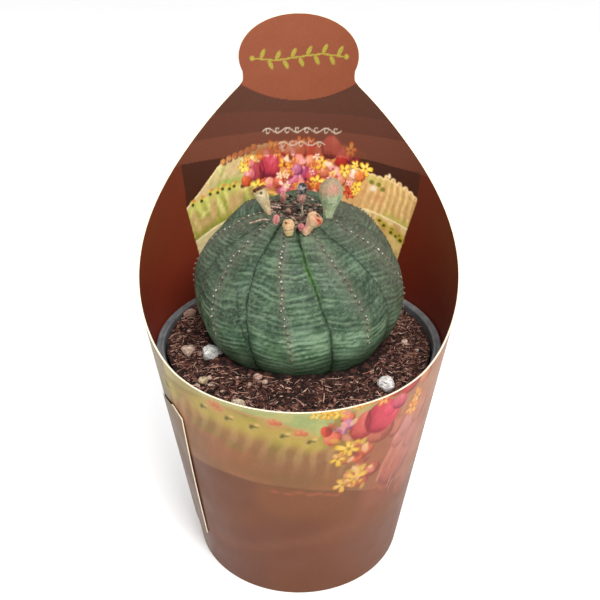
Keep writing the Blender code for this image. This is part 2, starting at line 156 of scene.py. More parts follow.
class Pile:
    """Collects many small shapes into one mesh."""

    def __init__(self):
        self.v, self.q, self.t, self.c, self.n = [], [], [], [], 0

    def add(self, v, c, q=None, t=None):
        if q is not None:
            self.q.append(np.asarray(q) + self.n)
        if t is not None:
            self.t.append(np.asarray(t) + self.n)
        self.v.append(np.asarray(v, float))
        self.c.append(np.broadcast_to(np.asarray(c, float), (len(v), 3)))
        self.n += len(v)

    def build(self, name, mat, smooth=True, tint=(0.70, 0.70, 0.70)):
        return mesh_object(name, np.concatenate(self.v) * MM,
                           np.concatenate(self.q) if self.q else None,
                           np.concatenate(self.t) if self.t else None,
                           np.concatenate(self.c), smooth=smooth, mat=mat, tint=tint)


def ico(sub):
    bm = bmesh.new()
    bmesh.ops.create_icosphere(bm, subdivisions=sub, radius=1.0)
    bm.verts.ensure_lookup_table()
    v = np.array([x.co[:] for x in bm.verts])
    t = np.array([[x.index for x in f.verts] for f in bm.faces])
    bm.free()
    return v, t


def own(ob, slot, *nodes):
    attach(ob, "root")
    if nodes:
        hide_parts(*nodes)
    return ob


# ---------------------------------------------------------------- materials
class Mat:
    def __init__(self, name, rough=0.5, spec=0.5):
        self.m = bpy.data.materials.new(name)
        self.m.use_nodes = True
        self.nt = self.m.node_tree
        self.b = self.nt.nodes["Principled BSDF"]
        self.b.inputs["Roughness"].default_value = rough
        self.b.inputs["Specular IOR Level"].default_value = spec
        self.co = self.nt.nodes.new("ShaderNodeTexCoord").outputs["Object"]

    def new(self, kind, **props):
        n = self.nt.nodes.new(kind)
        for k, v in props.items():
            setattr(n, k, v)
        return n

    def link(self, a, b):
        self.nt.links.new(a, b)

    def attr(self, name="Col"):
        n = self.new("ShaderNodeAttribute", attribute_name=name)
        return n.outputs["Color"]

    def noise(self, scale, detail=3.0, rough=0.5, distort=0.0, vec=None):
        n = self.new("ShaderNodeTexNoise")
        n.inputs["Scale"].default_value = scale
        n.inputs["Detail"].default_value = detail
        n.inputs["Roughness"].default_value = rough
        n.inputs["Distortion"].default_value = distort
        self.link(vec or self.co, n.inputs["Vector"])
        return n.outputs["Fac"]

    def voronoi(self, scale, feature="F1", vec=None):
        n = self.new("ShaderNodeTexVoronoi", feature=feature)
        n.inputs["Scale"].default_value = scale
        self.link(vec or self.co, n.inputs["Vector"])
        return n.outputs["Distance"]

    def stretch(self, x, y, z):
        n = self.new("ShaderNodeMapping")
        n.inputs["Scale"].default_value = (x, y, z)
        self.link(self.co, n.inputs["Vector"])
        return n.outputs["Vector"]

    def ramp(self, fac, stops):
        n = self.new("ShaderNodeValToRGB")
        el = n.color_ramp.elements
        while len(el) < len(stops):
            el.new(0.5)
        for e, (pos, c) in zip(el, stops):
            e.position = pos
            e.color = (*c, 1.0) if len(c) == 3 else c
        self.link(fac, n.inputs["Fac"])
        return n.outputs["Color"]

    def span(self, fac, a, b, lo, hi):
        n = self.new("ShaderNodeMapRange")
        n.inputs["From Min"].default_value = a
        n.inputs["From Max"].default_value = b
        n.inputs["To Min"].default_value = lo
        n.inputs["To Max"].default_value = hi
        self.link(fac, n.inputs["Value"])
        return n.outputs["Result"]

    def blend(self, kind, fac, a, b):
        n = self.new("ShaderNodeMix", data_type="RGBA", blend_type=kind)
        if isinstance(fac, float):
            n.inputs["Factor"].default_value = fac
        else:
            self.link(fac, n.inputs["Factor"])
        for sock, val in ((n.inputs[6], a), (n.inputs[7], b)):
            if isinstance(val, tuple):
                sock.default_value = (*val, 1.0)
            else:
                self.link(val, sock)
        return n.outputs[2]

    def add(self, a, b, op="ADD"):
        n = self.new("ShaderNodeMath", operation=op)
        for sock, val in zip(n.inputs, (a, b)):
            if isinstance(val, (int, float)):
                sock.default_value = val
            else:
                self.link(val, sock)
        return n.outputs[0]

    def colour(self, sock):
        self.link(sock, self.b.inputs["Base Color"])

    def rough(self, sock):
        self.link(sock, self.b.inputs["Roughness"])

    def bump(self, height, dist, strength=1.0, after=None):
        n = self.new("ShaderNodeBump")
        n.inputs["Strength"].default_value = strength
        n.inputs["Distance"].default_value = dist
        self.link(height, n.inputs["Height"])
        if after is not None:
            self.link(after, n.inputs["Normal"])
        self.link(n.outputs["Normal"], self.b.inputs["Normal"])
        return n.outputs["Normal"]


def speckled(m, base, scale, lo, hi, detail=3.0):
    """base colour times a fine noise between lo and hi."""
    f = m.span(m.noise(scale, detail), 0.3, 0.7, lo, hi)
    c = m.new("ShaderNodeCombineColor")
    for k in range(3):
        m.link(f, c.inputs[k])
    return m.blend("MULTIPLY", 1.0, base, c.outputs[0])


def mat_skin():
    m = Mat("plant_skin_wax", 0.55, 0.25)
    base = speckled(m, m.attr(), 1900.0, 0.86, 1.13, 4.0)
    dust = m.span(m.noise(900.0, 4.0, 0.6), 0.50, 0.75, 0.0, 0.34)
    base = m.blend("MIX", dust, base, tuple(lin(104, 120, 102)))
    m.colour(base)
    m.rough(m.span(m.noise(420.0, 3.0), 0.3, 0.7, 0.44, 0.66))
    n = m.bump(m.noise(700.0, 4.0, 0.6), 0.00014, 0.35)
    m.bump(m.noise(3200.0, 3.0), 0.00005, 0.4, n)
    m.b.inputs["Subsurface Weight"].default_value = 0.06
    m.b.inputs["Subsurface Radius"].default_value = (0.4, 1.0, 0.3)
    m.b.inputs["Subsurface Scale"].default_value = 0.0012
    return m.m


def mat_print():
    """Printed carton board under a satin varnish."""
    m = Mat("printed_carton", 0.42, 0.22)
    base = speckled(m, m.attr(), 2600.0, 0.94, 1.05, 2.0)
    m.colour(base)
    m.rough(m.span(m.noise(90.0, 3.0), 0.3, 0.7, 0.40, 0.54))
    n = m.bump(m.noise(60.0, 2.0), 0.0006, 0.12)
    m.bump(m.noise(2400.0, 3.0, 0.6, vec=m.stretch(1.0, 1.0, 0.35)), 0.00002, 0.45, n)
    return m.m


def mat_cut_edge():
    m = Mat("card_cut_edge", 0.85, 0.3)
    f = m.noise(1500.0, 4.0, 0.6, vec=m.stretch(1.0, 1.0, 3.0))
    m.colour(m.ramp(f, [(0.30, tuple(lin(206, 190, 160))), (0.62, tuple(lin(240, 231, 210)))]))
    m.bump(f, 0.00008, 0.6)
    return m.m


def mat_plastic():
    m = Mat("grey_pot_plastic", 0.42, 0.45)
    f = m.noise(300.0, 4.0, 0.6)
    base = m.ramp(f, [(0.3, tuple(lin(84, 88, 92))), (0.7, tuple(lin(118, 121, 124)))])
    dust = m.span(m.noise(700.0, 5.0, 0.7), 0.52, 0.72, 0.0, 0.55)
    m.colour(m.blend("MIX", dust, base, tuple(lin(112, 96, 86))))
    m.rough(m.span(m.noise(180.0, 3.0), 0.3, 0.7, 0.34, 0.56))
    m.bump(m.noise(1300.0, 3.0), 0.00005, 0.5)
    return m.m


def mat_soil(name="moist_peat", lo=0.72, hi=1.30):
    m = Mat(name, 0.88, 0.28)
    base = speckled(m, m.attr(), 1500.0, lo, hi, 5.0)
    m.colour(base)
    m.rough(m.span(m.noise(600.0, 3.0), 0.3, 0.7, 0.70, 0.96))
    m.bump(m.noise(1700.0, 5.0, 0.65), 0.00035, 0.8)
    return m.m


def mat_husk(name="dry_husk", rough=0.7):
    m = Mat(name, rough, 0.3)
    base = speckled(m, m.attr(), 1500.0, 0.80, 1.18, 4.0)
    m.colour(base)
    m.rough(m.span(m.noise(900.0, 3.0), 0.3, 0.7, rough - 0.14, rough + 0.12))
    n = m.bump(m.noise(900.0, 4.0, 0.6, vec=m.stretch(1.0, 1.0, 0.3)), 0.00025, 0.6)
    m.bump(m.noise(3000.0, 3.0), 0.00005, 0.5, n)
    m.b.inputs["Subsurface Weight"].default_value = 0.10
    m.b.inputs["Subsurface Radius"].default_value = (1.0, 0.6, 0.4)
    m.b.inputs["Subsurface Scale"].default_value = 0.0006
    return m.m


def mat_stone(name="porous_stone"):
    m = Mat(name, 0.9, 0.25)
    base = speckled(m, m.attr(), 1300.0, 0.80, 1.12, 5.0)
    pit = m.span(m.voronoi(1500.0), 0.0, 0.34, 0.0, 1.0)
    # painted shade: the stone's colour is darkened in the pits that the bump sinks in
    pits = m.ramp(pit, [(0.0, (0.52, 0.50, 0.48)), (0.7, (1.0, 1.0, 1.0))])
    m.colour(m.blend("MULTIPLY", 0.7, base, pits))
    m.rough(m.span(m.noise(900.0, 3.0), 0.3, 0.7, 0.80, 0.97))
    n = m.bump(pit, 0.0003, 0.7)
    m.bump(m.noise(2600.0, 4.0, 0.6), 0.00012, 0.6, n)
    return m.m


# =====================================================================
# camera, light, floor
# =====================================================================
scene = bpy.context.scene
scene.view_settings.view_transform = "Standard"
scene.view_settings.look = "None"
scene.view_settings.exposure = 0.0
scene.view_settings.gamma = 1.0

cam_data = bpy.data.cameras.new("camera")
cam = bpy.data.objects.new("camera", cam_data)
scene.collection.objects.link(cam)
cam_data.sensor_width = 36.0
cam_data.lens = 757.0 / 600.0 * 36.0
cam_data.shift_x = 0.002
cam_data.clip_start, cam_data.clip_end = 0.01, 20.0
cam.location = (0.0, -0.1981, 0.18695)
look = Vector((0.0, math.cos(math.radians(27.46)), -math.sin(math.radians(27.46))))
cam.rotation_euler = look.to_track_quat("-Z", "Y").to_euler()
scene.camera = cam


def area_light(name, where, at, size, power, colour=(1.0, 1.0, 1.0)):
    ld = bpy.data.lights.new(name, "AREA")
    ld.shape = "DISK"
    ld.size = size
    ld.energy = power
    ld.color = colour
    ob = bpy.data.objects.new(name, ld)
    ob.location = where
    ob.rotation_euler = (Vector(at) - Vector(where)).to_track_quat("-Z", "Y").to_euler()
    scene.collection.objects.link(ob)
    return ob


area_light("key", (0.22, -0.46, 0.66), (0.0, 0.0, 0.09), 0.36, 5.2, (1.0, 0.985, 0.96))
area_light("fill", (-0.62, -0.42, 0.40), (0.0, 0.0, 0.08), 0.55, 0.3, (0.97, 0.985, 1.0))
area_light("top", (-0.05, -0.05, 0.80), (0.0, 0.0, 0.08), 0.40, 0.9, (1.0, 1.0, 1.0))

world = bpy.data.worlds.new("studio")
scene.world = world
world.use_nodes = True
bg = world.node_tree.nodes["Background"]
bg.inputs["Color"].default_value = (1.0, 1.0, 1.0, 1.0)
bg.inputs["Strength"].default_value = 1.0

floor_m = Mat("pale_floor", 0.85, 0.2)
floor_m.colour(floor_m.ramp(floor_m.noise(3.0, 2.0), [(0.3, (0.95, 0.95, 0.95)), (0.7, (0.97, 0.97, 0.97))]))
floor_m.bump(floor_m.noise(400.0, 3.0), 0.0001, 0.2)
bm = bmesh.new()
bmesh.ops.create_circle(bm, cap_ends=True, radius=6.0, segments=96)
me = bpy.data.meshes.new("floor")
bm.to_mesh(me)
bm.free()
floor = bpy.data.objects.new("floor", me)
floor.location = (0.0, 0.0, -0.0002)
floor.data.materials.append(floor_m.m)
scene.collection.objects.link(floor)

# =====================================================================
# the plant's body
# =====================================================================
BODY_R, BODY_H, BODY_Z, BODY_FULL, RIBS = 30.2, 25.1, 89.3, 2.3, 8
FRONT_CREST, FRONT_STEP, REAR_STEP = -9.0, 40.0, 50.0
REAR_RISE, REAR_CREST = 1.3, 171.0
GROOVE, CROWN_DIP, CROWN_DIP_R = 0.050, 5.7, 8.6
CROWN_LEAN, ROOT_END_Z = (-0.8, 3.2), 50.0


def rib_azimuth(q):
    q = np.where(q < -2.0, q + RIBS, q)
    return np.where(q <= 2.0, FRONT_CREST + FRONT_STEP * q,
                    FRONT_CREST + 2.0 * FRONT_STEP + REAR_STEP * (q - 2.0))


DRIFT_T = (-52.0, -20.0, -10.0, 0.0, 8.0, 16.0, 28.0, 38.0, 46.0, 55.0, 65.0, 76.0, 90.0)
DRIFT_F = (-2.5, -2.5, -2.3, -2.0, -0.95, 0.1, 2.3, 3.6, 5.2, 6.4, 5.0, 2.6, 0.0)
DRIFT_S = (-3.4, -3.3, -2.8, -2.3, -1.3, -0.3, 0.5, 1.6, 1.5, 1.74, 1.3, 0.6, 0.0)


def drifted(t, phi):
    """Azimuth of a rib line at height t: the ribs close in towards the front of the crown."""
    r = np.maximum(BODY_R * np.cos(np.radians(np.clip(t, -45, 88))), 2.0)
    a = np.radians(phi)
    f, s = np.interp(t, DRIFT_T, DRIFT_F), np.interp(t, DRIFT_T, DRIFT_S)
    fade = sstep(-58.0, -46.0, t)
    return phi - np.degrees((f * np.sin(a) + s * np.cos(a)) / r) * fade, 1.0 - (f * np.cos(a) - s * np.sin(a)) / r * fade


def body_shape(t, q):
    """Skin of the plant, mm: t from -90 at the root to 90 at the crown, q the rib coordinate."""
    t, q = np.broadcast_arrays(np.asarray(t, float), np.asarray(q, float))
    ta = np.radians(np.maximum(t, -45.0))
    c, s = np.cos(ta), np.sin(ta)
    power = np.where(t < 0, 2.0 / BODY_FULL, 1.0)
    r = BODY_R * c ** power
    z = BODY_Z + BODY_H * np.sign(s) * np.abs(s) ** power
    u = np.clip((-45.0 - t) / 41.0, 0.0, 1.0)
    span = z - ROOT_END_Z
    r = np.where(t < -45.0, r - 1.203 * span * u + (4.0 - r + 1.203 * span) * u * u, r)
    z = np.where(t < -45.0, z - span * u, z)
    groove = GROOVE * (1.0 - u)
    phi = drifted(t, rib_azimuth(q))[0]
    seam = 1.0 - np.abs(np.cos(math.pi * q))
    up = np.maximum(0.0, s)
    front = np.where(np.abs(q) < 1.0, 0.42, 0.75)
    soft = front + (1.0 - front) * sstep(26.0, 62.0, t)
    r = r * (1.0 - groove * soft * seam * (0.55 + 0.45 * up) - 0.012 * soft * seam * seam)
    top = t > 0
    z = z - np.where(top, CROWN_DIP * np.exp(-(r / CROWN_DIP_R) ** 2), 0.0)
    z = z - np.where(top, 0.9 * seam * np.exp(-((r - 12.0) / 7.0) ** 2), 0.0)
    z = z + np.where(top, REAR_RISE * np.exp(-((r - 15.0) / 8.0) ** 2)
                     * np.maximum(0.0, np.cos(np.radians(phi - REAR_CREST))), 0.0)
    a = np.radians(phi)
    return np.stack([CROWN_LEAN[0] * up ** 3 + r * np.sin(a),
                     CROWN_LEAN[1] * up ** 3 - r * np.cos(a), z], -1)


NR, NQ = 176, RIBS * 62
tt = np.concatenate([np.linspace(-52.0, 0.0, 62, endpoint=False),
                     90.0 * (1.0 - (1.0 - np.linspace(0.0, 0.995, NR - 62)) ** 1.08)])
x = np.arange(NQ) / NQ * RIBS - 3.0
qq = x - 0.62 * np.sin(4.0 * math.pi * x) / (4.0 * math.pi)
qq = np.where(qq >= RIBS / 2, qq - RIBS, qq)
T, Q = np.meshgrid(tt, qq, indexing="ij")
P = body_shape(T, Q)

# distance down each rib's crest from the crown, and the width of the ribs
crest_line = body_shape(tt, np.zeros_like(tt))
seg = np.linalg.norm(np.diff(crest_line, axis=0), axis=1)
s_row = np.concatenate([[0.0], np.cumsum(seg[::-1])])[::-1]
S = np.broadcast_to(s_row[:, None], T.shape)
rib_id = np.round(Q)
dq = Q - rib_id
step = np.where((rib_id >= -2) & (rib_id <= 2) & ~((rib_id == 2) & (dq > 0)) & ~((rib_id == -2) & (dq < 0)),
                FRONT_STEP, REAR_STEP)
R_ROW = np.hypot(P[..., 0], P[..., 1])
AZ, SQUEEZE = drifted(T, rib_azimuth(Q))
dx = dq * np.radians(step) * np.maximum(R_ROW, 1.0) * SQUEEZE   # mm from the crest
half_w = 0.5 * np.radians(step) * np.maximum(R_ROW, 1.0) * SQUEEZE
d_seam = half_w - np.abs(dx)                                    # mm from the seam

flat = P.reshape(-1, 3)
wob = (fbm(flat / 9.0, 3, 5) - 0.5).reshape(T.shape)
wob2 = (fbm(flat / 3.2, 3, 9) - 0.5).reshape(T.shape)
rid = (rib_id.astype(int) % RIBS)
side = (dq > 0).astype(int)
sag = 0.05 + 0.13 * sstep(14.0, 44.0, S)
shift = _hash(rid, side, np.zeros_like(rid), 77)
band_s = S + sag * np.abs(dx) + 2.0 * wob + 0.9 * wob2
PITCH = 1.62
B = band_s / PITCH + 0.5 * shift
band_no = np.floor(B).astype(np.int64)
rand1 = _hash(band_no, rid * 7 + side * 3, np.zeros_like(band_no), 3)
rand2 = _hash(band_no // 2, rid * 5 + side, np.zeros_like(band_no), 8)
wave = 0.5 + 0.5 * np.cos(TAU * (B - np.floor(B)))

# normals of the plain form, then the relief on it
du = np.roll(P, -1, axis=1) - np.roll(P, 1, axis=1)
dv = np.gradient(P, axis=0)
nrm = np.cross(du, dv)
nrm /= np.linalg.norm(nrm, axis=-1, keepdims=True) + 1e-12
out_dir = P - np.array([0.0, 0.0, 88.0])
nrm *= np.sign((nrm * out_dir).sum(-1, keepdims=True))

fade = sstep(2.0, 7.0, S) * (1.0 - sstep(50.0, 60.0, S))
relief = 0.13 * (wave - 0.5) * fade * sstep(0.2, 1.4, d_seam)
relief += 0.26 * np.exp(-(dx / 1.5) ** 2) * fade
relief -= 0.20 * np.exp(-(d_seam / 0.22) ** 2) * sstep(3.0, 8.0, S)
relief -= 0.08 * np.exp(-(d_seam / 1.0) ** 2) * sstep(3.0, 8.0, S)
relief += 0.22 * wob + 0.16 * wob2

# tubercles down the crests
tub = []
tubercle_pit_shade = np.zeros(T.shape)
col_pale = np.zeros(T.shape)
for rb in range(-3, 5):
    s_at = 6.2 + rng.random() * 1.2
    k = 0
    while s_at < 54.0:
        q_off = (rng.random() - 0.5) * 0.5
        tub.append((rb, s_at, q_off))
        near = (np.abs(S[:, 0] - s_at) < 2.4)
        rows = np.where(near)[0]
        cols = np.where((rib_id[0] % RIBS) == (rb % RIBS))[0]
        ix = np.ix_(rows, cols)
        ds, dd = S[ix] - s_at, dx[ix] - q_off
        relief[ix] += 0.26 * np.exp(-((ds / 0.62) ** 2 + (dd / 0.72) ** 2))
        relief[ix] -= 0.14 * np.exp(-(((ds - 0.85) / 0.45) ** 2 + (dd / 0.8) ** 2))
        # painted shade just below each tubercle, in the dip under it
        tubercle_pit_shade[ix] = np.maximum(tubercle_pit_shade[ix], np.exp(-(((ds - 0.42) / 0.50) ** 2 + (dd / 0.52) ** 2)))
        col_pale[ix] = np.maximum(col_pale[ix], np.exp(-((ds / 1.0) ** 2 + (dd / 0.9) ** 2)))
        s_at += 1.66 + 0.5 * sstep(26.0, 50.0, np.array(s_at)) + (rng.random() - 0.5) * 0.34
        k += 1
P2 = P + nrm * relief[..., None]

# colours
c_dark, c_mid, c_light = lin(46, 72, 50), lin(82, 108, 82), lin(140, 162, 134)
line_p = np.stack([band_s.ravel() * 1.35, dx.ravel() * 0.10 + rid.ravel() * 9.1, side.ravel() * 5.0], 1)
streak = (fbm(line_p, 3, 21, 0.6) - 0.5).reshape(T.shape)
thread = (fbm(np.stack([band_s.ravel() * 4.0, dx.ravel() * 0.30 + rid.ravel() * 5.3, side.ravel() * 3.7], 1), 2, 24) - 0.5
          ).reshape(T.shape)
grain = (noise3(flat / 0.5, 25) - 0.5).reshape(T.shape)
blotch = (fbm(flat / 3.6 + 11.0, 3, 27) - 0.5).reshape(T.shape)
sharp = np.abs(2.0 * (B - np.floor(B)) - 1.0)
w = (0.33 + 0.66 * (sharp - 0.5) * (0.5 + 1.0 * rand2) + 0.36 * (rand1 - 0.5) + 1.45 * streak + 0.75 * thread
     + 0.85 * blotch + 0.35 * wob + 0.36 * grain)
w = 0.35 + 1.18 * (w - 0.35)
w += 0.10 * sstep(34.0, 46.0, S)
col = mix(np.broadcast_to(c_dark, (*T.shape, 3)), c_mid, sstep(-0.15, 0.42, w))
col = mix(col, np.broadcast_to(c_light, col.shape), sstep(0.40, 1.15, w))
# pale bloom in patches, tan and purple along the crests and round the crown
bloom = sstep(0.50, 0.78, fbm(flat / 5.0, 4, 33).reshape(T.shape)) * 0.32
col = mix(col, np.broadcast_to(lin(134, 156, 142), col.shape), bloom * (0.4 + 0.6 * sstep(0.3, 0.7, w)))
wide_by_rib = np.where(rid == 0, 1.0, np.where((rid == 1) | (rid == 7), 2.3, 3.0))
crest_w = np.exp(-(np.abs(dx) / (wide_by_rib + 1.4 * (1.0 - sstep(6.0, 40.0, S)))) ** 1.6)
crest_n = 0.25 + 1.3 * fbm(flat / 1.1, 3, 41).reshape(T.shape)
col = mix(col, np.broadcast_to(lin(122, 120, 100), col.shape),
          0.62 * crest_w * crest_n * (1.0 - 0.6 * sstep(34.0, 52.0, S)))
purple = sstep(0.50, 0.75, fbm(flat / 4.5, 3, 52).reshape(T.shape)) * (1.0 - sstep(10.0, 34.0, S))
col = mix(col, np.broadcast_to(lin(100, 92, 80), col.shape), 0.55 * purple)
col = mix(col, np.broadcast_to(lin(46, 50, 38), col.shape), 0.75 * (1.0 - sstep(1.0, 8.5, S)))
seam_on = sstep(4.0, 9.0, S)
seam_no = np.floor(Q)                                  # -1 is the seam left of the front crest
strong = np.where((seam_no == -1) | (seam_no == 0), 1.0, np.where((seam_no == 1) | (seam_no == -2), 0.5, 0.7))
jit = 0.55 + 0.9 * fbm(np.stack([S.ravel() / 1.4, seam_no.ravel() * 7.0, np.zeros(T.size)], 1), 3, 61).reshape(T.shape)
col = mix(col, np.broadcast_to(lin(48, 84, 50), col.shape), 0.50 * strong * np.exp(-(d_seam / 0.85) ** 2) * seam_on)
fresh = np.exp(-(d_seam / 0.66) ** 2) * np.exp(-((S - 30.0) / 6.5) ** 2) * (np.abs(Q - 0.5) < 0.24)
col = mix(col, np.broadcast_to(lin(96, 150, 48), col.shape), 0.85 * fresh)
col = mix(col, np.broadcast_to(lin(20, 42, 24), col.shape), 0.95 * strong * np.minimum(1.0, jit)
          * np.exp(-(d_seam / (0.20 + 0.10 * strong)) ** 2) * seam_on)
# an old seam that runs beside the left one and joins it near the soil
old = np.interp(T, [-15.0, -12.0, -3.7, 3.2, 11.6, 19.2, 26.0], [-26.0, -26.6, -29.2, -31.2, -32.8, -34.4, -35.6])
old_d = np.radians(AZ - old) * R_ROW
old_w = sstep(-17.0, -13.0, T) * (1.0 - sstep(17.0, 26.0, T)) * (np.abs(old_d) < 3)
col = mix(col, np.broadcast_to(lin(26, 52, 30), col.shape), 0.9 * np.exp(-(old_d / 0.36) ** 2) * old_w)
P2 = P2 - nrm * (0.10 * np.exp(-(old_d / 0.3) ** 2) * old_w)[..., None]
col = mix(col, np.broadcast_to(lin(150, 148, 130), col.shape), 0.42 * col_pale)
# painted shade below the tubercles
col = mix(col, np.broadcast_to(lin(40, 42, 34), col.shape), 0.85 * tubercle_pit_shade)
# painted shade: the skin is darker on the left and right flanks; it is also lighter low down on the body
col = col * ((1.0 + 0.95 * sstep(41.0, 54.0, S)) * (1.0 - 0.20 * sstep(-10.0, -46.0, AZ))
             * (1.0 - 0.18 * sstep(18.0, 50.0, AZ)))[..., None]
col = mix(col, np.broadcast_to(lin(118, 96, 80), col.shape), (0.34 * sstep(40.0, 66.0, AZ) + 0.14 * sstep(-48.0, -70.0, AZ))
          * (0.5 + 0.9 * fbm(flat / 2.6, 3, 57).reshape(T.shape)) * (np.abs(AZ) < 118.0))
# fine pale specks of lime all over
speck = sstep(0.70, 0.80, noise3(flat / 0.42, 88)).reshape(T.shape) * (0.25 + 0.5 * noise3(flat / 4.0, 89).reshape(T.shape))
col = mix(col, np.broadcast_to(lin(168, 176, 158), col.shape), 0.6 * speck)
# darker and greener where it meets the soil
col = mix(col, np.broadcast_to(lin(50, 80, 52), col.shape), 0.60 * sstep(50.0, 58.0, S))
col = mix(col, np.broadcast_to(lin(28, 52, 30), col.shape), 0.6 * sstep(42.0, 54.0, S) * np.exp(-(d_seam / 2.2) ** 2))

verts = P2.reshape(-1, 3)
quads = grid_quads(NR, NQ, wrap=True)
pole = len(verts)
verts = np.vstack([verts, P2[-1].mean(0)[None]])
cols_all = np.vstack([col.reshape(-1, 3), lin(44, 40, 32)[None]])
last = (NR - 1) * NQ
cap = np.array([[last + i, last + (i + 1) % NQ, pole] for i in range(NQ)])
skin_mat = mat_skin()
body = mesh_object("succulent_skin", verts * MM, quads, cap, cols_all, mat=skin_mat, tint=(0.425, 0.470, 0.425))
# the root end, plain and hidden in the soil
root_t = np.linspace(-86.4, -52.0, 14)
root_q = np.arange(48) / 48 * RIBS - 3.0
root_q = np.where(root_q >= RIBS / 2, root_q - RIBS, root_q)
RT, RQ = np.meshgrid(root_t, root_q, indexing="ij")
RP = body_shape(RT, RQ)
rv = np.vstack([RP.reshape(-1, 3), [[0, 0, ROOT_END_Z - 1.0]]])
rq = grid_quads(14, 48, wrap=True)
rt = np.array([[(i + 1) % 48, i, len(rv) - 1] for i in range(48)])
root_col = mix(np.broadcast_to(lin(96, 84, 62), (len(rv), 3)), lin(150, 132, 100), fbm(rv / 3.0, 3, 3))
root = mesh_object("succulent_root", rv * MM, rq, rt, root_col, mat=mat_husk("root_skin"))
own(body, "plant_skin", "succulent_body")
own(root, "plant_skin")

# pale dots on the tubercles
iv, it = ico(2)
dots = Pile()
row_of = np.interp
for rb, s_at, off in tub:
    t_at = np.interp(-s_at, -s_row, tt)
    width = FRONT_STEP if abs(rb) <= 2 else REAR_STEP
    c0 = body_shape(t_at, float(rb if rb < 4 else rb - RIBS))
    rr = max(2.0, math.hypot(c0[0], c0[1]))
    q_at = rb + off / (math.radians(width) * rr)
    q_at = q_at - RIBS if q_at >= RIBS / 2 else q_at
    a = body_shape(t_at, q_at)
    e = 0.02
    tu = body_shape(t_at + 0.3, q_at) - a
    tv = body_shape(t_at, q_at + e if q_at + e < RIBS / 2 else q_at + e - RIBS) - a
    n = np.cross(tv, tu)
    n /= np.linalg.norm(n)
    if np.dot(n, a - np.array([0, 0, 88.0])) < 0:
        n = -n
    size = 0.26 * (0.7 + 0.6 * rng.random()) * (1.0 - 0.35 * float(sstep(40, 54, np.array(s_at))))
    d = iv * (1.0 + 0.25 * (noise3(iv * 2.2 + rng.random(3) * 50, 2)[:, None] - 0.5))
    tdir = tu / np.linalg.norm(tu)
    bdir = np.cross(n, tdir)
    pts = a + n * 0.62 + (d[:, :1] * tdir * 1.15 + d[:, 1:2] * bdir + d[:, 2:] * n * 0.62) * size
    tone = lin(*((196, 190, 174) if rng.random() < 0.35 else (160, 142, 122) if rng.random() < 0.6 else (132, 124, 104)))
    shade = 1.0 - 0.62 * sstep(0.1, 0.9, -(d @ np.array([1.0, 0.0, 0.0])))[:, None]
    dots.add(pts, tone[None] * shade * (0.8 + 0.3 * rng.random()), t=it)
own(dots.build("tubercle_dots", mat_husk("tubercle_cork", 0.75)), "plant_skin")

# =====================================================================
# pieces that stand on the crown
# =====================================================================
from mathutils.bvhtree import BVHTree

cad_body = bpy.data.objects["succulent_body"]
_bm = bmesh.new()
_bm.from_mesh(cad_body.data)
_bm.transform(cad_body.matrix_world)
CAD_TREE = BVHTree.FromBMesh(_bm)
_bm.free()


def skin_at(x, y):
    hit, normal, _, _ = CAD_TREE.ray_cast(Vector((x * MM, y * MM, 0.2)), Vector((0, 0, -1)))
    return np.array(hit) / MM, np.array(normal)


def curve_r(profile, s):
    ps = np.array([p[0] for p in profile])
    rs = np.array([p[1] for p in profile])
    return np.interp(s, ps, rs)


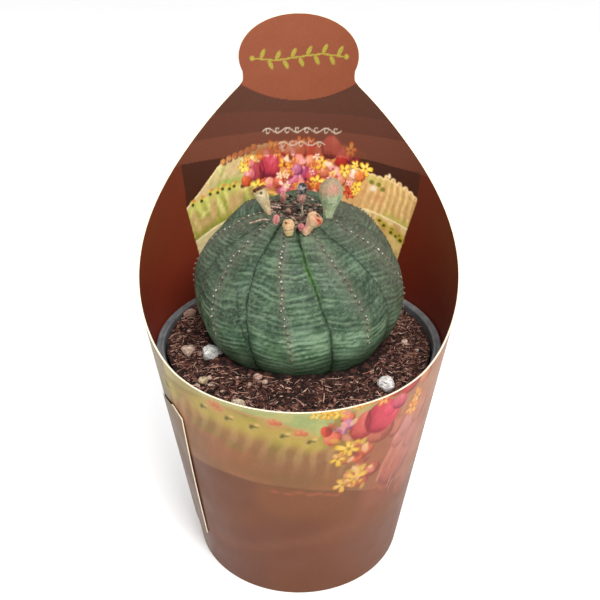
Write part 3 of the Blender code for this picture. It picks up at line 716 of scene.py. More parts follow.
def turned(name, foot, tip, bow, profile, mat, slot, paint, form=None, nodes=(), nr=90, na=64,
           sink=0.25, squash=1.0):
    """A plant part turned about a bowed centre line; paint and form work in (s, b):
    s along it, b degrees round it with 0 towards the front and 90 to the right."""
    r0 = max(0.3, profile[min(2, len(profile) - 1)][1])
    p, nrm = skin_at(*foot)
    tip = np.array(tip, float)
    start = p + nrm * (0.37 + r0)
    axis = (tip - start) / np.linalg.norm(tip - start)
    start = start - axis * (r0 + sink)
    mid = (start + tip) / 2 + np.array(bow, float)
    # closed profile, stepped by length along it
    pr = np.array(profile, float)
    length = np.linalg.norm(tip - start)
    dl = np.concatenate([[0], np.cumsum(np.hypot(np.diff(pr[:, 0]) * length, np.diff(pr[:, 1])))])
    u = np.linspace(0, dl[-1], nr)
    s = np.interp(u, dl, pr[:, 0])
    r = np.interp(u, dl, pr[:, 1])
    k = np.array([1.0, 2.0, 3.0, 2.0, 1.0])
    k /= k.sum()
    rs = np.convolve(np.pad(r, 2, mode="edge"), k, "valid")
    rs[0], rs[-1] = r[0], r[-1]
    r = np.maximum(rs, 0.0)
    ss = np.convolve(np.pad(s, 2, mode="edge"), k, "valid")
    ss[0], ss[-1] = s[0], s[-1]
    s = ss
    sc = np.clip(s, 0, 1)[:, None]
    c = (1 - sc) ** 2 * start + 2 * sc * (1 - sc) * mid + sc ** 2 * tip
    d = 2 * (1 - sc) * (mid - start) + 2 * sc * (tip - mid)
    d /= np.linalg.norm(d, axis=1, keepdims=True)
    c = c + d * (length * (s[:, None] - sc))
    right = np.cross(d, np.array([0.0, 1.0, 0.0]))
    right /= np.linalg.norm(right, axis=1, keepdims=True)
    front = np.cross(right, d)
    front *= np.sign(-front[:, 1:2])
    right *= np.sign(right[:, 0:1])
    b = np.arange(na) / na * 360.0 - 180.0
    SS, BB = np.meshgrid(s, b, indexing="ij")
    UU = np.broadcast_to((u / dl[-1])[:, None], SS.shape)
    RR = np.broadcast_to(r[:, None], SS.shape).copy()
    cb, sb = np.cos(np.radians(b)), np.sin(np.radians(b))

    def place(rad):
        return (c[:, None, :] + rad[..., None] * (front[:, None, :] * cb[None, :, None] * squash
                                                  + right[:, None, :] * sb[None, :, None]))
    pts0 = place(RR)
    flat0 = pts0.reshape(-1, 3)
    if form is not None:
        RR = RR + form(SS, BB, UU, flat0.reshape(*SS.shape, 3)) * np.minimum(1.0, RR / 0.35)
    pts = place(RR)
    cc = paint(SS, BB, UU, pts0)
    verts = np.vstack([pts.reshape(-1, 3), pts[0].mean(0)[None], pts[-1].mean(0)[None]])
    colr = np.vstack([cc.reshape(-1, 3), cc[0, :1], cc[-1, :1]])
    n0 = nr * na
    t1 = [[(i + 1) % na, i, n0] for i in range(na)]
    t2 = [[n0 - na + i, n0 - na + (i + 1) % na, n0 + 1] for i in range(na)]
    ob = mesh_object(name, verts * MM, grid_quads(nr, na, wrap=True), np.array(t1 + t2), colr, mat=mat)
    return own(ob, slot, *nodes)


def spot(S_, B_, s0, b0, ds, db):
    dbb = (B_ - b0 + 180.0) % 360.0 - 180.0
    return np.exp(-((S_ - s0) / ds) ** 2 - (dbb / db) ** 2)


def blank(shape, *rgb):
    return np.broadcast_to(lin(*rgb), (*shape, 3)).copy()


def rough_noise(P_, size, seed, octaves=3):
    return fbm(P_.reshape(-1, 3) / size, octaves, seed).reshape(P_.shape[:-1])


def dome(r):
    return ((0.0, 0.0), (0.012, r * 0.8), (0.045, r))


CUP = (*dome(0.80), (0.22, 0.98), (0.45, 1.34), (0.62, 1.74), (0.76, 1.90), (0.80, 1.86), (0.84, 1.95),
       (0.93, 2.02), (0.99, 1.70), (1.0, 1.45), (0.985, 1.15), (0.92, 0.98), (0.86, 0.60), (0.85, 0.0))
BARREL = (*dome(0.92), (0.18, 1.14), (0.34, 1.34), (0.40, 1.26), (0.46, 1.42), (0.66, 1.62), (0.86, 1.42),
          (0.97, 1.0), (1.0, 0.72), (0.93, 0.5), (0.86, 0.42), (0.84, 0.0))
CLUB = (*dome(1.0), (0.16, 1.16), (0.34, 1.08), (0.46, 1.32), (0.58, 1.78), (0.76, 2.25), (0.90, 2.0),
        (1.0, 1.30), (0.99, 0.95), (0.94, 0.62), (0.93, 0.0))
POD = (*dome(1.15), (0.14, 1.32), (0.27, 1.58), (0.40, 2.25), (0.55, 3.0), (0.66, 3.25), (0.72, 3.2),
       (0.80, 2.95), (0.91, 2.15), (0.97, 1.3), (1.0, 0.5), (1.004, 0.0))
BUD = (*dome(0.58), (0.22, 0.74), (0.45, 0.98), (0.66, 1.0), (0.85, 0.75), (0.96, 0.38), (1.0, 0.0))
WITHERED = ((0.0, 0.0), (0.008, 0.26), (0.03, 0.3), (0.2, 0.30), (0.36, 0.36), (0.46, 0.78),
            (0.58, 1.20), (0.68, 1.06), (0.74, 0.92), (0.78, 1.15), (0.84, 1.38), (0.94, 1.32), (1.0, 0.8), (1.0, 0.0))
KNOB = ((0.0, 0.0), (0.06, 0.45), (0.3, 0.72), (0.6, 0.74), (0.86, 0.5), (1.0, 0.0))

husk = mat_husk()
pod_skin = mat_husk("pod_skin", 0.6)


def cup_form(S_, B_, U_, P_):
    f = 0.10 * (rough_noise(P_, 0.9, 61) - 0.5) * 2
    lobes = np.cos(np.radians(B_ * 5 + 30)) * sstep(0.80, 0.9, S_) * 0.22
    f = f + lobes
    f -= 0.55 * spot(S_, B_, 0.80, 8, 0.05, 16)
    f -= 0.55 * spot(S_, B_, 0.95, 4, 0.05, 22)
    f -= 0.55 * spot(S_, B_, 0.93, -58, 0.05, 20)
    return f + 0.05 * np.cos(np.radians(B_ * 5)) * (1 - sstep(0.7, 0.8, S_))


def cup_paint(S_, B_, U_, P_):
    n = rough_noise(P_, 1.1, 62)
    c = mix(blank(S_.shape, 210, 190, 146), lin(184, 160, 116), sstep(0.35, 0.75, n))
    c = mix(c, lin(206, 164, 134), 0.7 * (1 - sstep(0.05, 0.32, S_)))
    c = mix(c, lin(226, 212, 174), 0.5 * spot(S_, B_, 0.6, -20, 0.2, 30))
    c = mix(c, lin(206, 132, 60), sstep(0.84, 0.95, S_) * (0.55 + 0.6 * (n - 0.3)))
    c = mix(c, lin(224, 176, 92), 0.8 * spot(S_, B_, 0.98, -30, 0.06, 30))
    c = mix(c, lin(122, 62, 30), sstep(0.70, 0.74, U_))
    # painted shade: near black in the dents cut into the cup's rim
    for s0, b0, ds, db in ((0.80, 8, 0.035, 13), (0.95, 4, 0.035, 24), (0.92, -58, 0.035, 18)):
        c = mix(c, lin(30, 14, 10), 1.4 * spot(S_, B_, s0, b0, ds, db))
    return c


turned("cup_flower_left", (-8.9, -0.2), (-11.1, 1.0, 118.6), (0.35, 0, 0), CUP, husk, "dried_cup",
       cup_paint, cup_form, ("flower_cup_left",))


def barrel_form(S_, B_, U_, P_):
    return (0.10 * (rough_noise(P_, 0.8, 63) - 0.5) * 2 - 0.45 * spot(S_, B_, 0.80, -30, 0.07, 20)
            + 0.10 * spot(S_, B_, 0.44, 0, 0.04, 80))


def barrel_paint(S_, B_, U_, P_):
    n = rough_noise(P_, 0.9, 64)
    c = mix(blank(S_.shape, 202, 174, 128), lin(178, 144, 104), sstep(0.35, 0.7, n))
    c = mix(c, lin(214, 168, 128), 0.7 * sstep(0.45, 0.7, S_) * (1 - sstep(0.8, 0.95, S_)))
    c = mix(c, lin(188, 180, 118), 0.5 * (1 - sstep(0.1, 0.4, S_)))
    c = mix(c, lin(170, 116, 64), 0.7 * spot(S_, B_, 0.82, -30, 0.14, 36))
    c = mix(c, lin(150, 112, 76), 0.8 * spot(S_, B_, 0.40, 0, 0.025, 200))
    # painted shade in the dent of the barrel's side
    c = mix(c, lin(44, 22, 12), 1.3 * spot(S_, B_, 0.80, -30, 0.05, 15))
    return mix(c, lin(104, 66, 40), sstep(0.80, 0.86, U_))


turned("cup_flower_front", (-2.6, -13.8), (-2.8, -13.6, 114.8), (0, -0.3, 0), BARREL, husk, "dried_cup",
       barrel_paint, barrel_form, ("flower_cup_front",))


def club_form(S_, B_, U_, P_):
    return (0.13 * (rough_noise(P_, 0.9, 65) - 0.5) * 2 - 0.42 * spot(S_, B_, 0.84, 28, 0.05, 26)
            - 0.35 * spot(S_, B_, 0.96, -20, 0.04, 20) + 0.10 * np.cos(np.radians(B_ * 3)) * sstep(0.5, 0.7, S_))


def club_paint(S_, B_, U_, P_):
    n = rough_noise(P_, 0.9, 66)
    c = mix(blank(S_.shape, 214, 176, 138), lin(190, 148, 112), sstep(0.35, 0.7, n))
    c = mix(c, lin(198, 190, 138), 0.55 * spot(S_, B_, 0.5, 30, 0.12, 50))
    c = mix(c, lin(210, 140, 132), 0.85 * spot(S_, B_, 0.30, -60, 0.22, 38))
    c = mix(c, lin(206, 96, 58), 0.8 * spot(S_, B_, 0.84, 30, 0.13, 48))
    c = mix(c, lin(150, 34, 24), 1.2 * spot(S_, B_, 0.86, 10, 0.045, 22))
    c = mix(c, lin(150, 40, 26), 1.1 * spot(S_, B_, 0.80, 48, 0.045, 18))
    # painted shade in the dent near the club's top
    c = mix(c, lin(66, 34, 26), 1.2 * spot(S_, B_, 0.97, -22, 0.035, 26))
    return mix(c, lin(120, 70, 48), sstep(0.86, 0.93, U_))


turned("club_flower_right", (2.6, -12.2), (5.3, -12.0, 115.3), (-0.5, 0, 0.3), CLUB, husk, "dried_cup",
       club_paint, club_form, ("flower_cup_front_right",))


def pod_form(S_, B_, U_, P_):
    f = 0.14 * (rough_noise(P_, 1.2, 67) - 0.5) * 2 + 0.06 * (rough_noise(P_, 0.35, 68) - 0.5) * 2
    f += 0.16 * np.cos(np.radians(B_ * 3 + 10)) * sstep(0.35, 0.6, S_)
    veins = np.abs(np.sin(np.radians(B_ * 4.5 + 40 * np.sin(S_ * 9)))) ** 10
    return f + 0.07 * veins


def pod_paint(S_, B_, U_, P_):
    n = rough_noise(P_, 1.4, 69)
    fine = rough_noise(P_, 0.32, 70)
    c = mix(blank(S_.shape, 132, 160, 116), lin(164, 178, 136), sstep(0.35, 0.7, n))
    c = mix(c, lin(164, 150, 118), sstep(0.56, 0.74, S_ + 0.16 * (n - 0.5)))
    c = mix(c, lin(150, 126, 98), 0.7 * sstep(0.78, 0.96, S_) * sstep(0.4, 0.6, n))
    c = mix(c, lin(196, 126, 110), 0.75 * spot(S_, B_, 0.80, 8, 0.12, 32))
    c = mix(c, lin(196, 142, 112), 0.55 * spot(S_, B_, 0.70, -50, 0.12, 30))
    veins = np.abs(np.sin(np.radians(B_ * 4.5 + 40 * np.sin(S_ * 9)))) ** 14
    c = mix(c, lin(206, 210, 176), 0.5 * veins * (1 - sstep(0.55, 0.75, S_)))
    wave = np.exp(-((S_ - 0.50 - 0.02 * np.sin(np.radians(B_ * 7))) / 0.022) ** 2)
    c = mix(c, lin(226, 226, 200), 0.75 * wave * sstep(0.4, 0.5, fine))
    crumbs = sstep(0.62, 0.72, fine)
    c = mix(c, lin(214, 216, 190), 0.7 * crumbs * (1 - sstep(0.3, 0.6, S_)))
    c = mix(c, lin(84, 70, 52), 0.5 * sstep(0.66, 0.76, rough_noise(P_, 0.5, 71)) * sstep(0.5, 0.8, S_))
    return mix(c, lin(112, 104, 76), 0.7 * (1 - sstep(0.02, 0.12, S_)))


turned("ripe_pod", (8.3, -3.8), (9.15, -3.0, 122.4), (0, 0, 0), POD, pod_skin, "seed_pod_skin",
       pod_paint, pod_form, ("seed_pod",), 110, 84)


def wither_form(S_, B_, U_, P_):
    top = sstep(0.72, 0.78, S_)
    return (0.26 * top * (rough_noise(P_, 0.6, 72) - 0.5) * 2 + 0.10 * (1 - top) * (rough_noise(P_, 0.7, 73) - 0.5) * 2
            + 0.12 * top * np.cos(np.radians(B_ * 5)))


def wither_paint(S_, B_, U_, P_):
    n = rough_noise(P_, 0.5, 74)
    c = mix(blank(S_.shape, 216, 204, 180), lin(178, 152, 128), sstep(0.4, 0.7, n))
    club = mix(blank(S_.shape, 222, 166, 150), lin(190, 134, 122), sstep(0.35, 0.7, n))
    c = mix(c, club, sstep(0.34, 0.46, S_))
    top = mix(blank(S_.shape, 156, 148, 146), lin(60, 50, 48), sstep(0.42, 0.62, n))
    top = mix(top, lin(192, 188, 190), 0.8 * sstep(0.55, 0.7, rough_noise(P_, 0.7, 75)))
    c = mix(c, top, sstep(0.70, 0.75, S_))
    return mix(c, lin(28, 20, 18), 0.9 * sstep(0.97, 1.0, S_))


turned("shrivelled_flower", (1.1, 3.6), (1.05, 1.0, 119.3), (-0.5, 0, 0), WITHERED, husk, "withered_flower",
       wither_paint, wither_form, ("withered_flower",), 90, 48)


def bud_paint(tone_a, tone_b, seed):
    def paint(S_, B_, U_, P_):
        n = rough_noise(P_, 0.55, seed)
        c = mix(blank(S_.shape, *tone_a), lin(*tone_b), sstep(0.35, 0.68, n))
        ribs = np.abs(np.sin(np.radians(B_ * 2.5))) ** 8
        c = mix(c, lin(224, 186, 164), 0.4 * ribs)
        c = mix(c, lin(196, 176, 138), 0.7 * (1 - sstep(0.04, 0.22, S_)))
        return mix(c, lin(150, 96, 84), 0.7 * sstep(0.88, 1.0, S_))
    return paint


def bud_form(seed):
    return lambda S_, B_, U_, P_: (0.10 * (rough_noise(P_, 0.5, seed) - 0.5) * 2
                                   + 0.05 * np.cos(np.radians(B_ * 5)))


turned("pink_bud_back", (-4.8, 8.7), (-4.4, 8.0, 114.9), (-0.1, 0, 0), BUD, husk, "pink_bud",
       bud_paint((206, 140, 126), (182, 106, 98), 81), bud_form(81), ("bud_back",), 60, 40)
turned("pink_bud_left", (-5.9, -7.7), (-5.85, -6.8, 113.5), (0, 0, 0), BUD, husk, "pink_bud",
       bud_paint((208, 136, 130), (184, 104, 108), 82), bud_form(82), ("bud_left",), 60, 40)
turned("pink_bud_front", (0.4, -11.6), (0.6, -11.2, 112.7), (0, 0, 0), BUD, husk, "pink_bud",
       bud_paint((190, 110, 112), (160, 78, 86), 83), bud_form(83), ("bud_front",), 56, 40, squash=0.8)
turned("scar_knob_left", (-3.1, 4.9), (-3.1, 4.5, 111.1), (0, 0, 0), KNOB, husk, "withered_flower",
       bud_paint((172, 132, 116), (130, 92, 80), 84), bud_form(84), ("bud_scar_left",), 40, 32)
turned("scar_knob_right", (3.7, 3.4), (3.7, 3.1, 111.1), (0, 0, 0), KNOB, husk, "dried_cup",
       bud_paint((176, 138, 118), (132, 92, 78), 85), bud_form(85), ("bud_scar_right",), 40, 32)


def tube(points, radii, na=7):
    """Closed tube along points (n, 3), for twigs and fibres."""
    points = np.asarray(points, float)
    n = len(points)
    d = np.gradient(points, axis=0)
    d /= np.linalg.norm(d, axis=1, keepdims=True) + 1e-12
    ref = np.where(np.abs(d[:, 2:3]) > 0.9, np.array([[1.0, 0, 0]]), np.array([[0, 0, 1.0]]))
    s = np.cross(d, ref)
    s /= np.linalg.norm(s, axis=1, keepdims=True)
    u = np.cross(s, d)
    a = np.arange(na) / na * TAU
    ring = (points[:, None] + np.asarray(radii)[:, None, None]
            * (s[:, None] * np.cos(a)[None, :, None] + u[:, None] * np.sin(a)[None, :, None]))
    v = np.vstack([ring.reshape(-1, 3), points[0][None], points[-1][None]])
    q = grid_quads(n, na, wrap=True)
    base = n * na
    t = [[i, (i + 1) % na, base] for i in range(na)]
    t += [[base - na + (i + 1) % na, base - na + i, base + 1] for i in range(na)]
    return v, q, np.array(t)


def twig(name, node, ends, lift, r, tone, seed, extra=()):
    (x0, y0), (x1, y1) = ends
    n = 44
    s = np.linspace(0, 1, n)
    px = x0 + (x1 - x0) * s + 0.22 * np.sin(5.1 * s + x0)
    py = y0 + (y1 - y0) * s + 0.18 * np.sin(6.3 * s + y0)
    pz = np.array([skin_at(a, b)[0][2] for a, b in zip(px, py)])
    pz = pz + 0.32 + r + 0.1 + lift * (0.4 + 0.6 * np.sin(math.pi * s))
    top = pz.max()
    pz = pz * 0.35 + 0.65 * np.maximum(pz, top - 0.35)
    pts = np.stack([px, py, pz], 1)
    g = np.random.default_rng(seed)
    rad = r * (1.0 + 0.25 * np.sin(s * 23 + seed) + 0.18 * g.standard_normal(n))
    rad[0] *= 0.5
    rad[-1] *= 0.45
    pile = Pile()
    v, q, t = tube(pts, rad, 14)
    nz = fbm(v / 0.8, 3, seed)
    pile.add(v, mix(np.broadcast_to(lin(*tone), (len(v), 3)), lin(70, 46, 36), 0.7 * sstep(0.52, 0.72, nz)), q, t)
    for k in range(3):
        i = int(6 + g.random() * (n - 14))
        w_ = pts[i:i + 8] + (g.random(3) - 0.5) * 0.3
        w_[:, 2] += np.linspace(0, 0.5, 8)
        v, q, t = tube(w_, np.linspace(0.11, 0.05, 8), 7)
        pile.add(v, lin(*(np.array(tone) * 0.8)), q, t)
    return own(pile.build(name, mat_husk(name + "_bark", 0.8)), "dry_stalk", node)


twig("stalk_left", "dry_stalk_left", ((-13.2, -7.7), (-7.6, -6.6)), 0.1, 0.24, (190, 164, 144), 91)
twig("stalk_back", "dry_stalk_back", ((-9.0, 6.3), (-0.4, 6.8)), 0.2, 0.27, (140, 104, 92), 92)
twig("stalk_middle", "dry_stalk_middle", ((-8.7, 4.4), (-5.2, 4.9)), 0.1, 0.27, (190, 158, 144), 93)

# crumbs, threads and scraps lying in the crown
FINE_TREE_BM = bmesh.new()
FINE_TREE_BM.from_mesh(body.data)
FINE_TREE = BVHTree.FromBMesh(FINE_TREE_BM)
FINE_TREE_BM.free()


def fine_skin(x, y):
    hit, normal, _, _ = FINE_TREE.ray_cast(Vector((x * MM, y * MM, 0.2)), Vector((0, 0, -1)))
    return (np.array(hit) / MM, np.array(normal)) if hit is not None else (None, None)


iv1, it1 = ico(1)
debris = Pile()
g = np.random.default_rng(44)
tones = [(66, 46, 38), (96, 68, 56), (130, 98, 82), (164, 132, 112), (44, 30, 26), (110, 92, 78), (186, 160, 140)]
for k in range(420):
    rad = 8.2 * g.random() ** 0.65
    a = g.random() * TAU
    x_, y_ = -1.0 + rad * 1.06 * math.cos(a), 4.6 + rad * 1.0 * math.sin(a)
    if k % 6 == 0:                                   # the trail of scraps down the front of the crown
        x_, y_ = -0.5 + 4.5 * (g.random() - 0.5), -1.5 - 9.5 * g.random()
    p, nrm_ = fine_skin(x_, y_)
    if p is None:
        continue
    sz = 0.18 + 0.42 * g.random() ** 2
    shape = iv1 * (1.0 + 0.5 * (g.random((len(iv1), 1)) - 0.5)) * np.array([sz * (1 + 1.2 * g.random()), sz, sz * 0.62])
    ca, sa = math.cos(a * 3.0), math.sin(a * 3.0)
    shape = shape @ np.array([[ca, sa, 0], [-sa, ca, 0], [0, 0, 1]])
    debris.add(p + nrm_ * sz * 0.35 + shape, lin(*tones[int(g.random() * len(tones))]) * (0.7 + 0.5 * g.random()), t=it1)
for k in range(70):
    a = g.random() * TAU
    rad = 7.4 * g.random() ** 0.6
    x_, y_ = -1.0 + rad * math.cos(a), 4.4 + rad * math.sin(a)
    p, nrm_ = fine_skin(x_, y_)
    if p is None:
        continue
    ln = 0.8 + 2.2 * g.random()
    b = g.random() * TAU
    s = np.linspace(-0.5, 0.5, 6)[:, None] * ln
    dir_ = np.array([math.cos(b), math.sin(b), 0.25 * (g.random() - 0.3)])
    pts = p + nrm_ * 0.25 + dir_ * s + np.array([-dir_[1], dir_[0], 0.0]) * (0.25 * (s / ln * 2) ** 2)
    v, q, t = tube(pts, np.full(6, 0.05 + 0.07 * g.random()), 6)
    debris.add(v, lin(*tones[int(g.random() * len(tones))]), q, t)
own(debris.build("crown_scraps", mat_husk("scrap_bark", 0.85)), "dry_stalk")

# crumbs caught in the tubercles and round the flower bases
grit = Pile()
for rb, s_at, off in tub:
    if g.random() < 0.45:
        t_at = np.interp(-s_at - 0.4, -s_row, tt)
        q_at = float(rb if rb < 4 else rb - RIBS)
        pt = body_shape(t_at, q_at)
        hit, n_, _, _ = FINE_TREE.find_nearest(Vector(pt * MM))
        if hit is None:
            continue
        h = np.array(hit) / MM
        sz = 0.10 + 0.16 * g.random()
        dxy = (g.random(3) - 0.5) * 1.2
        grit.add(h + dxy * np.array([1, 1, 0.6]) + np.array(n_) * sz * 0.3 + iv1 * sz,
                 lin(*((206, 196, 176) if g.random() < 0.4 else (120, 96, 76))) * (0.7 + 0.4 * g.random()), t=it1)
own(grit.build("areole_grit", mat_husk("grit", 0.85)), "plant_skin")

# =====================================================================
# potting soil
# =====================================================================
POT_RIM_R, POT_RIM_Z, POT_BASE_R, POT_FLOOR, POT_LIP_W = 42.5, 72.0, 29.4, 1.4, 2.3
POT_INNER_BASE_R, POT_COLLAR_Z = 28.4, 61.6
SOIL_Z, SOIL_MOUND, SOIL_MOUND_R, SOIL_TILT = 70.9, 1.6, 25.0, (-0.016, 0.012)


def pot_inner_radius(z):
    top = POT_RIM_R - POT_LIP_W - 0.5
    f = (z - POT_FLOOR) / (POT_RIM_Z - 6.0 - POT_FLOOR)
    if f <= 1.0:
        return POT_INNER_BASE_R + (top - POT_INNER_BASE_R) * f
    return top + 0.5 * min(1.0, (z - (POT_RIM_Z - 6.0)) / 5.6)


SOIL_TINT = (0.66, 0.50, 0.47)


def soil_level(x, y):
    f = sstep(0.0, 1.0, (np.hypot(x, y) - SOIL_MOUND_R) / 14.0)
    return SOIL_Z + SOIL_MOUND * (1.0 - f) + SOIL_TILT[0] * x + SOIL_TILT[1] * y


def lump(x, y):
    """Uneven top of the soil, mm."""
    x, y = np.asarray(x, float), np.asarray(y, float)
    p = p3(x, y, np.zeros_like(x))
    h = 1.5 * (fbm(p / 7.0, 3, 101) - 0.5) + 1.2 * (fbm(p / 2.2, 3, 102) - 0.5) + 0.7 * (fbm(p / 0.8, 2, 103) - 0.5)
    h = h.reshape(x.shape)
    r = np.hypot(x, y)
    a = np.degrees(np.arctan2(x, -y))
    h = h + 2.3 * np.exp(-((r - 26.5) / 4.2) ** 2) * (0.5 + 0.5 * np.cos(np.radians(a + 10.0)))
    return h * (1.0 - 0.65 * sstep(37.0, 39.5, r))


n_r, n_a = 110, 560
rad = np.linspace(24.0, 39.35, n_r)
ang = np.arange(n_a) / n_a * TAU
RD, AN = np.meshgrid(rad, ang, indexing="ij")
SX, SY = RD * np.sin(AN), -RD * np.cos(AN)
SZ = soil_level(SX, SY) + lump(SX, SY) - 0.25
top_v = np.stack([SX, SY, SZ], -1).reshape(-1, 3)
sn = fbm(top_v / 1.3, 4, 104)
sn2 = fbm(top_v / 4.5, 3, 105)
soil_col = mix(np.broadcast_to(lin(34, 18, 15), (len(top_v), 3)), lin(100, 68, 58), sstep(0.44, 0.66, sn))
soil_col = mix(soil_col, lin(38, 22, 18), 0.8 * sstep(0.55, 0.75, 1.0 - sn2))
# sides and bottom of the block of soil
wall_r, wall_z = [], []
for zz in np.linspace(69.8, POT_FLOOR + 0.4, 26):
    wall_r.append(pot_inner_radius(float(zz)) - 0.5)
    wall_z.append(float(zz))
wall_r += [24.0, 16.0, 8.0]
wall_z += [POT_FLOOR + 0.4] * 3
WR, WA = np.meshgrid(np.array(wall_r), ang[::4], indexing="ij")
WZ = np.broadcast_to(np.array(wall_z)[:, None], WR.shape)
wall_v = np.stack([WR * np.sin(WA), -WR * np.cos(WA), WZ], -1).reshape(-1, 3)
wall_v = wall_v + 0.25 * (fbm(wall_v / 2.0, 3, 106)[:, None] - 0.5) * np.array([1.0, 1.0, 0.0])
wn = fbm(wall_v / 1.6, 3, 107)
wall_c = mix(np.broadcast_to(lin(58, 38, 32), (len(wall_v), 3)), lin(96, 68, 56), sstep(0.4, 0.65, wn))
na_w = n_a // 4
soil_pile = Pile()
soil_pile.add(top_v, soil_col, grid_quads(n_r, n_a, wrap=True, flip=True))
wv = np.vstack([wall_v, [[0, 0, POT_FLOOR + 0.4]]])
wt = np.array([[len(wall_v) - na_w + i, len(wall_v) - na_w + (i + 1) % na_w, len(wall_v)] for i in range(na_w)])
soil_pile.add(wv, np.vstack([wall_c, wall_c[:1]]), grid_quads(len(wall_r), na_w, wrap=True, flip=True), wt[:, ::-1])
own(soil_pile.build("peat_block", mat_soil(), tint=(0.50, 0.38, 0.35)), "dark_peat", "potting_soil")


def soil_spot(gen, r_lo=27.2, r_hi=38.8):
    while True:
        r = math.sqrt(r_lo ** 2 + (r_hi ** 2 - r_lo ** 2) * gen.random())
        a = gen.random() * TAU
        return r * math.sin(a), -r * math.cos(a)


def top_of_soil(x, y):
    return float(soil_level(np.array(x), np.array(y)) + lump(np.array([x]), np.array([y]))[0]) - 0.25


g = np.random.default_rng(77)
N_F = 4200
fx, fy = np.zeros(N_F), np.zeros(N_F)
for k in range(N_F):
    fx[k], fy[k] = soil_spot(g, 27.8, 39.0)
fz = soil_level(fx, fy) + lump(fx, fy) - 0.25
fib = Pile()
ftones = [(122, 88, 76), (164, 126, 112), (88, 56, 48), (206, 172, 154), (54, 30, 26), (236, 210, 192)]
for k in range(N_F):
    ln = 0.8 + 3.6 * g.random() ** 2.2
    if k % 60 == 0:
        ln = 4.5 + 4.0 * g.random()
    b = g.random() * TAU
    tilt = 0.30 * (g.random() - 0.45)
    s = np.linspace(-0.5, 0.5, 6)
    bend = (g.random() - 0.5) * 1.1
    dxy = np.array([math.cos(b), math.sin(b)])
    ox = s * ln
    oy = bend * ln * 0.5 * (s * 2) ** 2 * 0.5
    x_ = fx[k] + dxy[0] * ox - dxy[1] * oy
    y_ = fy[k] + dxy[1] * ox + dxy[0] * oy
    rr_ = np.hypot(x_, y_)
    if rr_.max() > 39.6 or rr_.min() < 26.6:
        continue
    z_ = fz[k] + 0.12 + 0.30 * g.random() + s * ln * tilt
    w_ = 0.06 + 0.12 * g.random() ** 1.5
    v, q, t = tube(np.stack([x_, y_, z_], 1), w_ * np.array([0.5, 0.9, 1.05, 1.05, 0.85, 0.4]), 4)
    fib.add(v, lin(*ftones[min(5, int(6 * g.random() ** 1.3))]) * (0.55 + 0.65 * g.random() ** 1.4), q, t)
own(fib.build("coir_fibres", mat_soil("coir", 0.82, 1.18), tint=(0.76, 0.63, 0.59)), "dark_peat")

bits = Pile()
for k in range(3600):
    x_, y_ = soil_spot(g, 27.4, 39.2)
    if math.hypot(x_, y_) > 39.3:
        continue
    sz = 0.16 + 0.42 * g.random() ** 2.4
    shape = iv1 * (1.0 + 0.7 * (g.random((len(iv1), 1)) - 0.5))
    shape = shape * np.array([sz * (1 + 1.0 * g.random()), sz, sz * (0.5 + 0.4 * g.random())])
    b = g.random() * TAU
    shape = shape @ np.array([[math.cos(b), math.sin(b), 0], [-math.sin(b), math.cos(b), 0], [0, 0, 1]])
    tone = lin(*[(40, 24, 20), (62, 38, 32), (98, 68, 60), (28, 15, 12), (168, 134, 120)][min(4, int(5 * g.random() ** 1.3))])
    bits.add(np.array([x_, y_, top_of_soil(x_, y_) + sz * 0.2]) + shape, tone * (0.75 + 0.4 * g.random()), t=it1)
for k in range(300):                                  # slivers of bark
    x_, y_ = soil_spot(g, 28.0, 38.4)
    ln, wd, th_ = 0.9 + 1.8 * g.random(), 0.35 + 0.5 * g.random(), 0.14 + 0.1 * g.random()
    b, tl, rl = g.random() * TAU, (g.random() - 0.5) * 0.9, (g.random() - 0.5) * 1.2
    box = np.array([[sx * ln / 2 * (0.75 if sy * sx > 0 else 1), sy * wd / 2, sz_ * th_ / 2]
                    for sx in (-1, 1) for sy in (-1, 1) for sz_ in (-1, 1)], float)
    box[:, 2] += 0.12 * box[:, 0] ** 2 / max(ln, 0.1)
    box[:, :] += (g.random((8, 3)) - 0.5) * 0.14
    ct, st = math.cos(tl), math.sin(tl)
    box = box @ np.array([[ct, 0, st], [0, 1, 0], [-st, 0, ct]])
    cr, sr = math.cos(rl), math.sin(rl)
    box = box @ np.array([[1, 0, 0], [0, cr, sr], [0, -sr, cr]])
    box = box @ np.array([[math.cos(b), math.sin(b), 0], [-math.sin(b), math.cos(b), 0], [0, 0, 1]])
    qs = np.array([[0, 1, 3, 2], [4, 6, 7, 5], [0, 4, 5, 1], [2, 3, 7, 6], [0, 2, 6, 4], [1, 5, 7, 3]])
    tone = lin(*[(84, 56, 46), (112, 80, 64), (60, 38, 30), (150, 118, 98)][min(3, int(4 * g.random() ** 1.3))])
    bits.add(np.array([x_, y_, top_of_soil(x_, y_) + 0.2]) + box, tone * (0.75 + 0.4 * g.random()), qs)
own(bits.build("peat_crumbs", mat_soil("crumbs", 0.75, 1.25), smooth=False, tint=SOIL_TINT), "dark_peat")


# =====================================================================
# stones in the soil
# =====================================================================
stone_mat, perlite_mat = mat_stone(), mat_stone("perlite")
ivs, its = ico(5)


